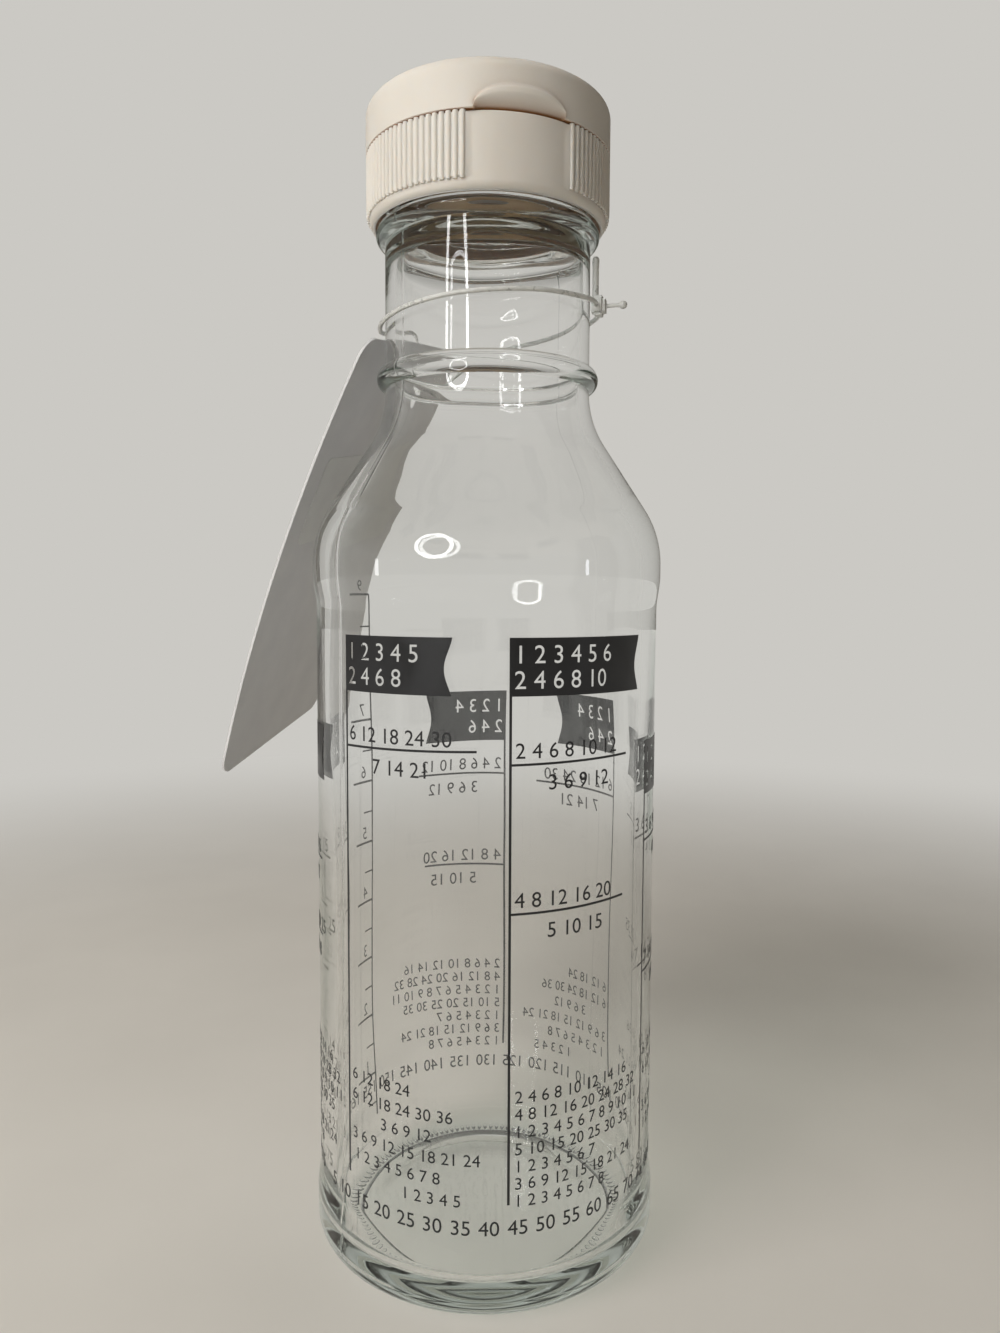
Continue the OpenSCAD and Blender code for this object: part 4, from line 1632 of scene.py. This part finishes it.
@dataclass
class Studio:
    """The floor, the lamps, the background and the camera at the photograph's angle."""

    lamps: tuple[Lamp, ...] = (
        Lamp("key_left", -66.0, 38.0, 0.9, (0.45, 0.45), watts=5.4, colour="#fffdf9"),
        Lamp("fill_right", 75.0, 30.0, 1.2, (0.7, 0.7), watts=0.14, colour="#ffeed8"),
        Lamp("back_top", 175.0, 60.0, 1.1, (0.8, 0.4), watts=1.6),
        Lamp("window_left", -86.5, 1.5, 1.0, (0.05, 0.10), watts=0.12, mirrored=True),
        Lamp("window_right", 51.0, 1.8, 1.1, (0.04, 0.10), watts=0.10, colour="#f4f7ff", mirrored=True))
    eye: Point3 = (-45.437, -176.966, 117.2)
    forward: Point3 = (0.260893, 0.962498, -0.074381)
    right: Point3 = (0.965243, -0.261321, 0.004099)
    focal_px: float = 1005.3
    image_px: tuple[int, int] = (1000, 1333)
    backdrop: str = "#cbc9c4"
    room_light: str = "#f2e6d4"
    room_glow: float = 0.13
    ring_r: float = 0.175
    ring_w: float = 0.04
    ring_glow: float = 14.0
    ring_middle: float = 0.125
    lamp_middle: float = 0.1

    def camera(self) -> None:
        """Sets the camera where the photograph was taken."""
        data = bpy.data.cameras.new("camera")
        data.sensor_width = 36.0
        data.lens = 36.0 * self.focal_px / max(self.image_px)
        data.clip_start, data.clip_end = 0.005, 20.0
        camera = placed("camera", data)
        ahead, side = Vector(self.forward).normalized(), Vector(self.right).normalized()
        up = side.cross(ahead).normalized()
        turn = Matrix((side, up, -ahead)).transposed().to_4x4()
        camera.matrix_world = Matrix.Translation(Vector(self.eye) * MM) @ turn
        bpy.context.scene.camera = camera

    def world(self) -> None:
        """Makes an even pale surround, a little darker for the light that it gives."""
        world = bpy.data.worlds.new("studio")
        bpy.context.scene.world = world
        world.use_nodes = True
        tree = world.node_tree
        tree.nodes.clear()
        path = add_node(tree, "ShaderNodeLightPath")
        seen = add_node(tree, "ShaderNodeBackground", {"Color": linear(self.backdrop), "Strength": 1.0})
        # Glass shows the backdrop up to a steep angle, over which the room is dim.
        place = add_node(tree, "ShaderNodeTexCoord").outputs["Generated"]
        height = add_node(tree, "ShaderNodeSeparateXYZ", {0: place}).outputs["Z"]
        dim = add_node(tree, "ShaderNodeMapRange", {
            "Value": height, "From Min": 0.45, "From Max": 0.8, "To Min": 1.0, "To Max": 0.3}).outputs[0]
        in_glass = add_node(tree, "ShaderNodeBackground", {
            "Color": linear(self.backdrop), "Strength": dim})
        light = add_node(tree, "ShaderNodeBackground", {
            "Color": linear(self.room_light), "Strength": self.room_glow})
        behind = add_node(tree, "ShaderNodeMixShader", {
            0: path.outputs["Is Transmission Ray"], 1: light.outputs[0], 2: in_glass.outputs[0]})
        mix = add_node(tree, "ShaderNodeMixShader", {
            0: path.outputs["Is Camera Ray"], 1: behind.outputs[0], 2: seen.outputs[0]})
        add_node(tree, "ShaderNodeOutputWorld", {"Surface": mix.outputs[0]})

    def light(self, lamp: Lamp) -> None:
        """Adds one lamp, which glass lets through unseen.

        Args:
            lamp: Its place, its size and its light.
        """
        data = bpy.data.lights.new(lamp.name, "AREA")
        data.shape = "RECTANGLE"
        data.size, data.size_y = lamp.size
        data.energy = lamp.watts
        data.color = linear(lamp.colour)[:3]
        source = placed(lamp.name, data)
        source.visible_glossy = lamp.mirrored
        source.visible_transmission = False
        self.aim(source, lamp.azimuth, lamp.elevation, lamp.distance, self.lamp_middle)

    def aim(self, light: bpy.types.Object, azimuth: float, elevation: float, distance: float,
            height: float) -> None:
        """Stands a light away from the bottle, facing it.

        Args:
            light: The lamp or glowing form, whose own +Z faces away from the bottle.
            azimuth: Its direction, in degrees from -Y towards +X.
            elevation: Its height over the horizon, in degrees.
            distance: Its distance, in metres.
            height: Height of the place on the bottle's axis that it faces, in metres.
        """
        a, e = math.radians(azimuth), math.radians(elevation)
        out = Vector((math.sin(a) * math.cos(e), -math.cos(a) * math.cos(e), math.sin(e)))
        light.rotation_mode = "QUATERNION"
        light.rotation_quaternion = out.to_track_quat("Z", "Y")
        light.location = Vector((0, 0, height)) + out * distance

    def ring(self, name: str, azimuth: float, elevation: float, distance: float) -> None:
        """Adds a ring-shaped lamp, whose small oval shows in the glass.

        Args:
            name: The lamp's name.
            azimuth: Its direction from the bottle, in degrees from -Y towards +X.
            elevation: Its height over the horizon, in degrees.
            distance: Distance from the bottle's middle, in metres.
        """
        mesh = bmesh.new()
        angles = [math.radians(a) for a in even_angles(64)]
        radii = (self.ring_r + self.ring_w / 2, self.ring_r - self.ring_w / 2)
        join_rows(mesh, [[mesh.verts.new((r * math.cos(a), r * math.sin(a), 0)) for a in angles]
                         for r in radii])
        ring = keep(name, mesh)
        self.aim(ring, azimuth, elevation, distance, self.ring_middle)
        ring.visible_camera = False
        ring.visible_shadow = False
        material, tree = new_material("ring_lamp_glow")
        glow = add_node(tree, "ShaderNodeEmission", {"Color": (1, 1, 1, 1), "Strength": self.ring_glow})
        finish_material(tree, glow.outputs[0])
        ring.data.materials.append(material)

    def floor(self) -> None:
        """Lays a large plain floor."""
        mesh = bmesh.new()
        bmesh.ops.create_circle(mesh, cap_ends=True, segments=64, radius=3.0)
        floor = keep("floor", mesh)
        # A hair under the bottle, so that the two don't share a plane.
        floor.location.z = -0.2 * MM
        floor.data.materials.append(PaleTable().make())

    def build(self) -> None:
        """Sets up the whole studio."""
        self.camera()
        self.world()
        self.floor()
        for lamp in self.lamps:
            self.light(lamp)
        self.ring("ring_left", -47.5, 15.0, 0.9)


def main() -> None:
    """Builds and dresses every sub-assembly in order."""
    logging.basicConfig(level=logging.INFO, format="%(name)s: %(message)s")
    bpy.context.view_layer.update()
    bpy.context.scene.view_settings.view_transform = "Standard"
    paths = bpy.context.scene.cycles
    paths.max_bounces, paths.transmission_bounces, paths.glossy_bounces = 32, 32, 24
    paths.transparent_max_bounces = 32
    studio = Studio()
    studio.build()

    glass = BlownSodaLimeGlass().make()
    plastic = MouldedPolypropylene().make()
    # The lid's hollow for the thumb is wider than the gaps of the ribs, so it browns sooner.
    lid_plastic = MouldedPolypropylene("polypropylene_moulded_cream_lid_darker_shade", closed_share=0.55,
                                       open_share=1.0).make()

    bottle = GlassBottle()
    place = TagPlace(bottle.throat_z)
    NylonLoop(place).build(NYLON.make())
    HangTag(place).build(CARD.make(), PAPER.make())
    bottle.build(glass)
    MeasurePrint().build(ENAMEL.make())
    sizes = ClosureSizes()
    ScrewCap(sizes).build(plastic)
    FlipLid(sizes).build(lid_plastic)
    finish_node("cap_liner", FOAM.make())


if __name__ == "__main__":
    main()
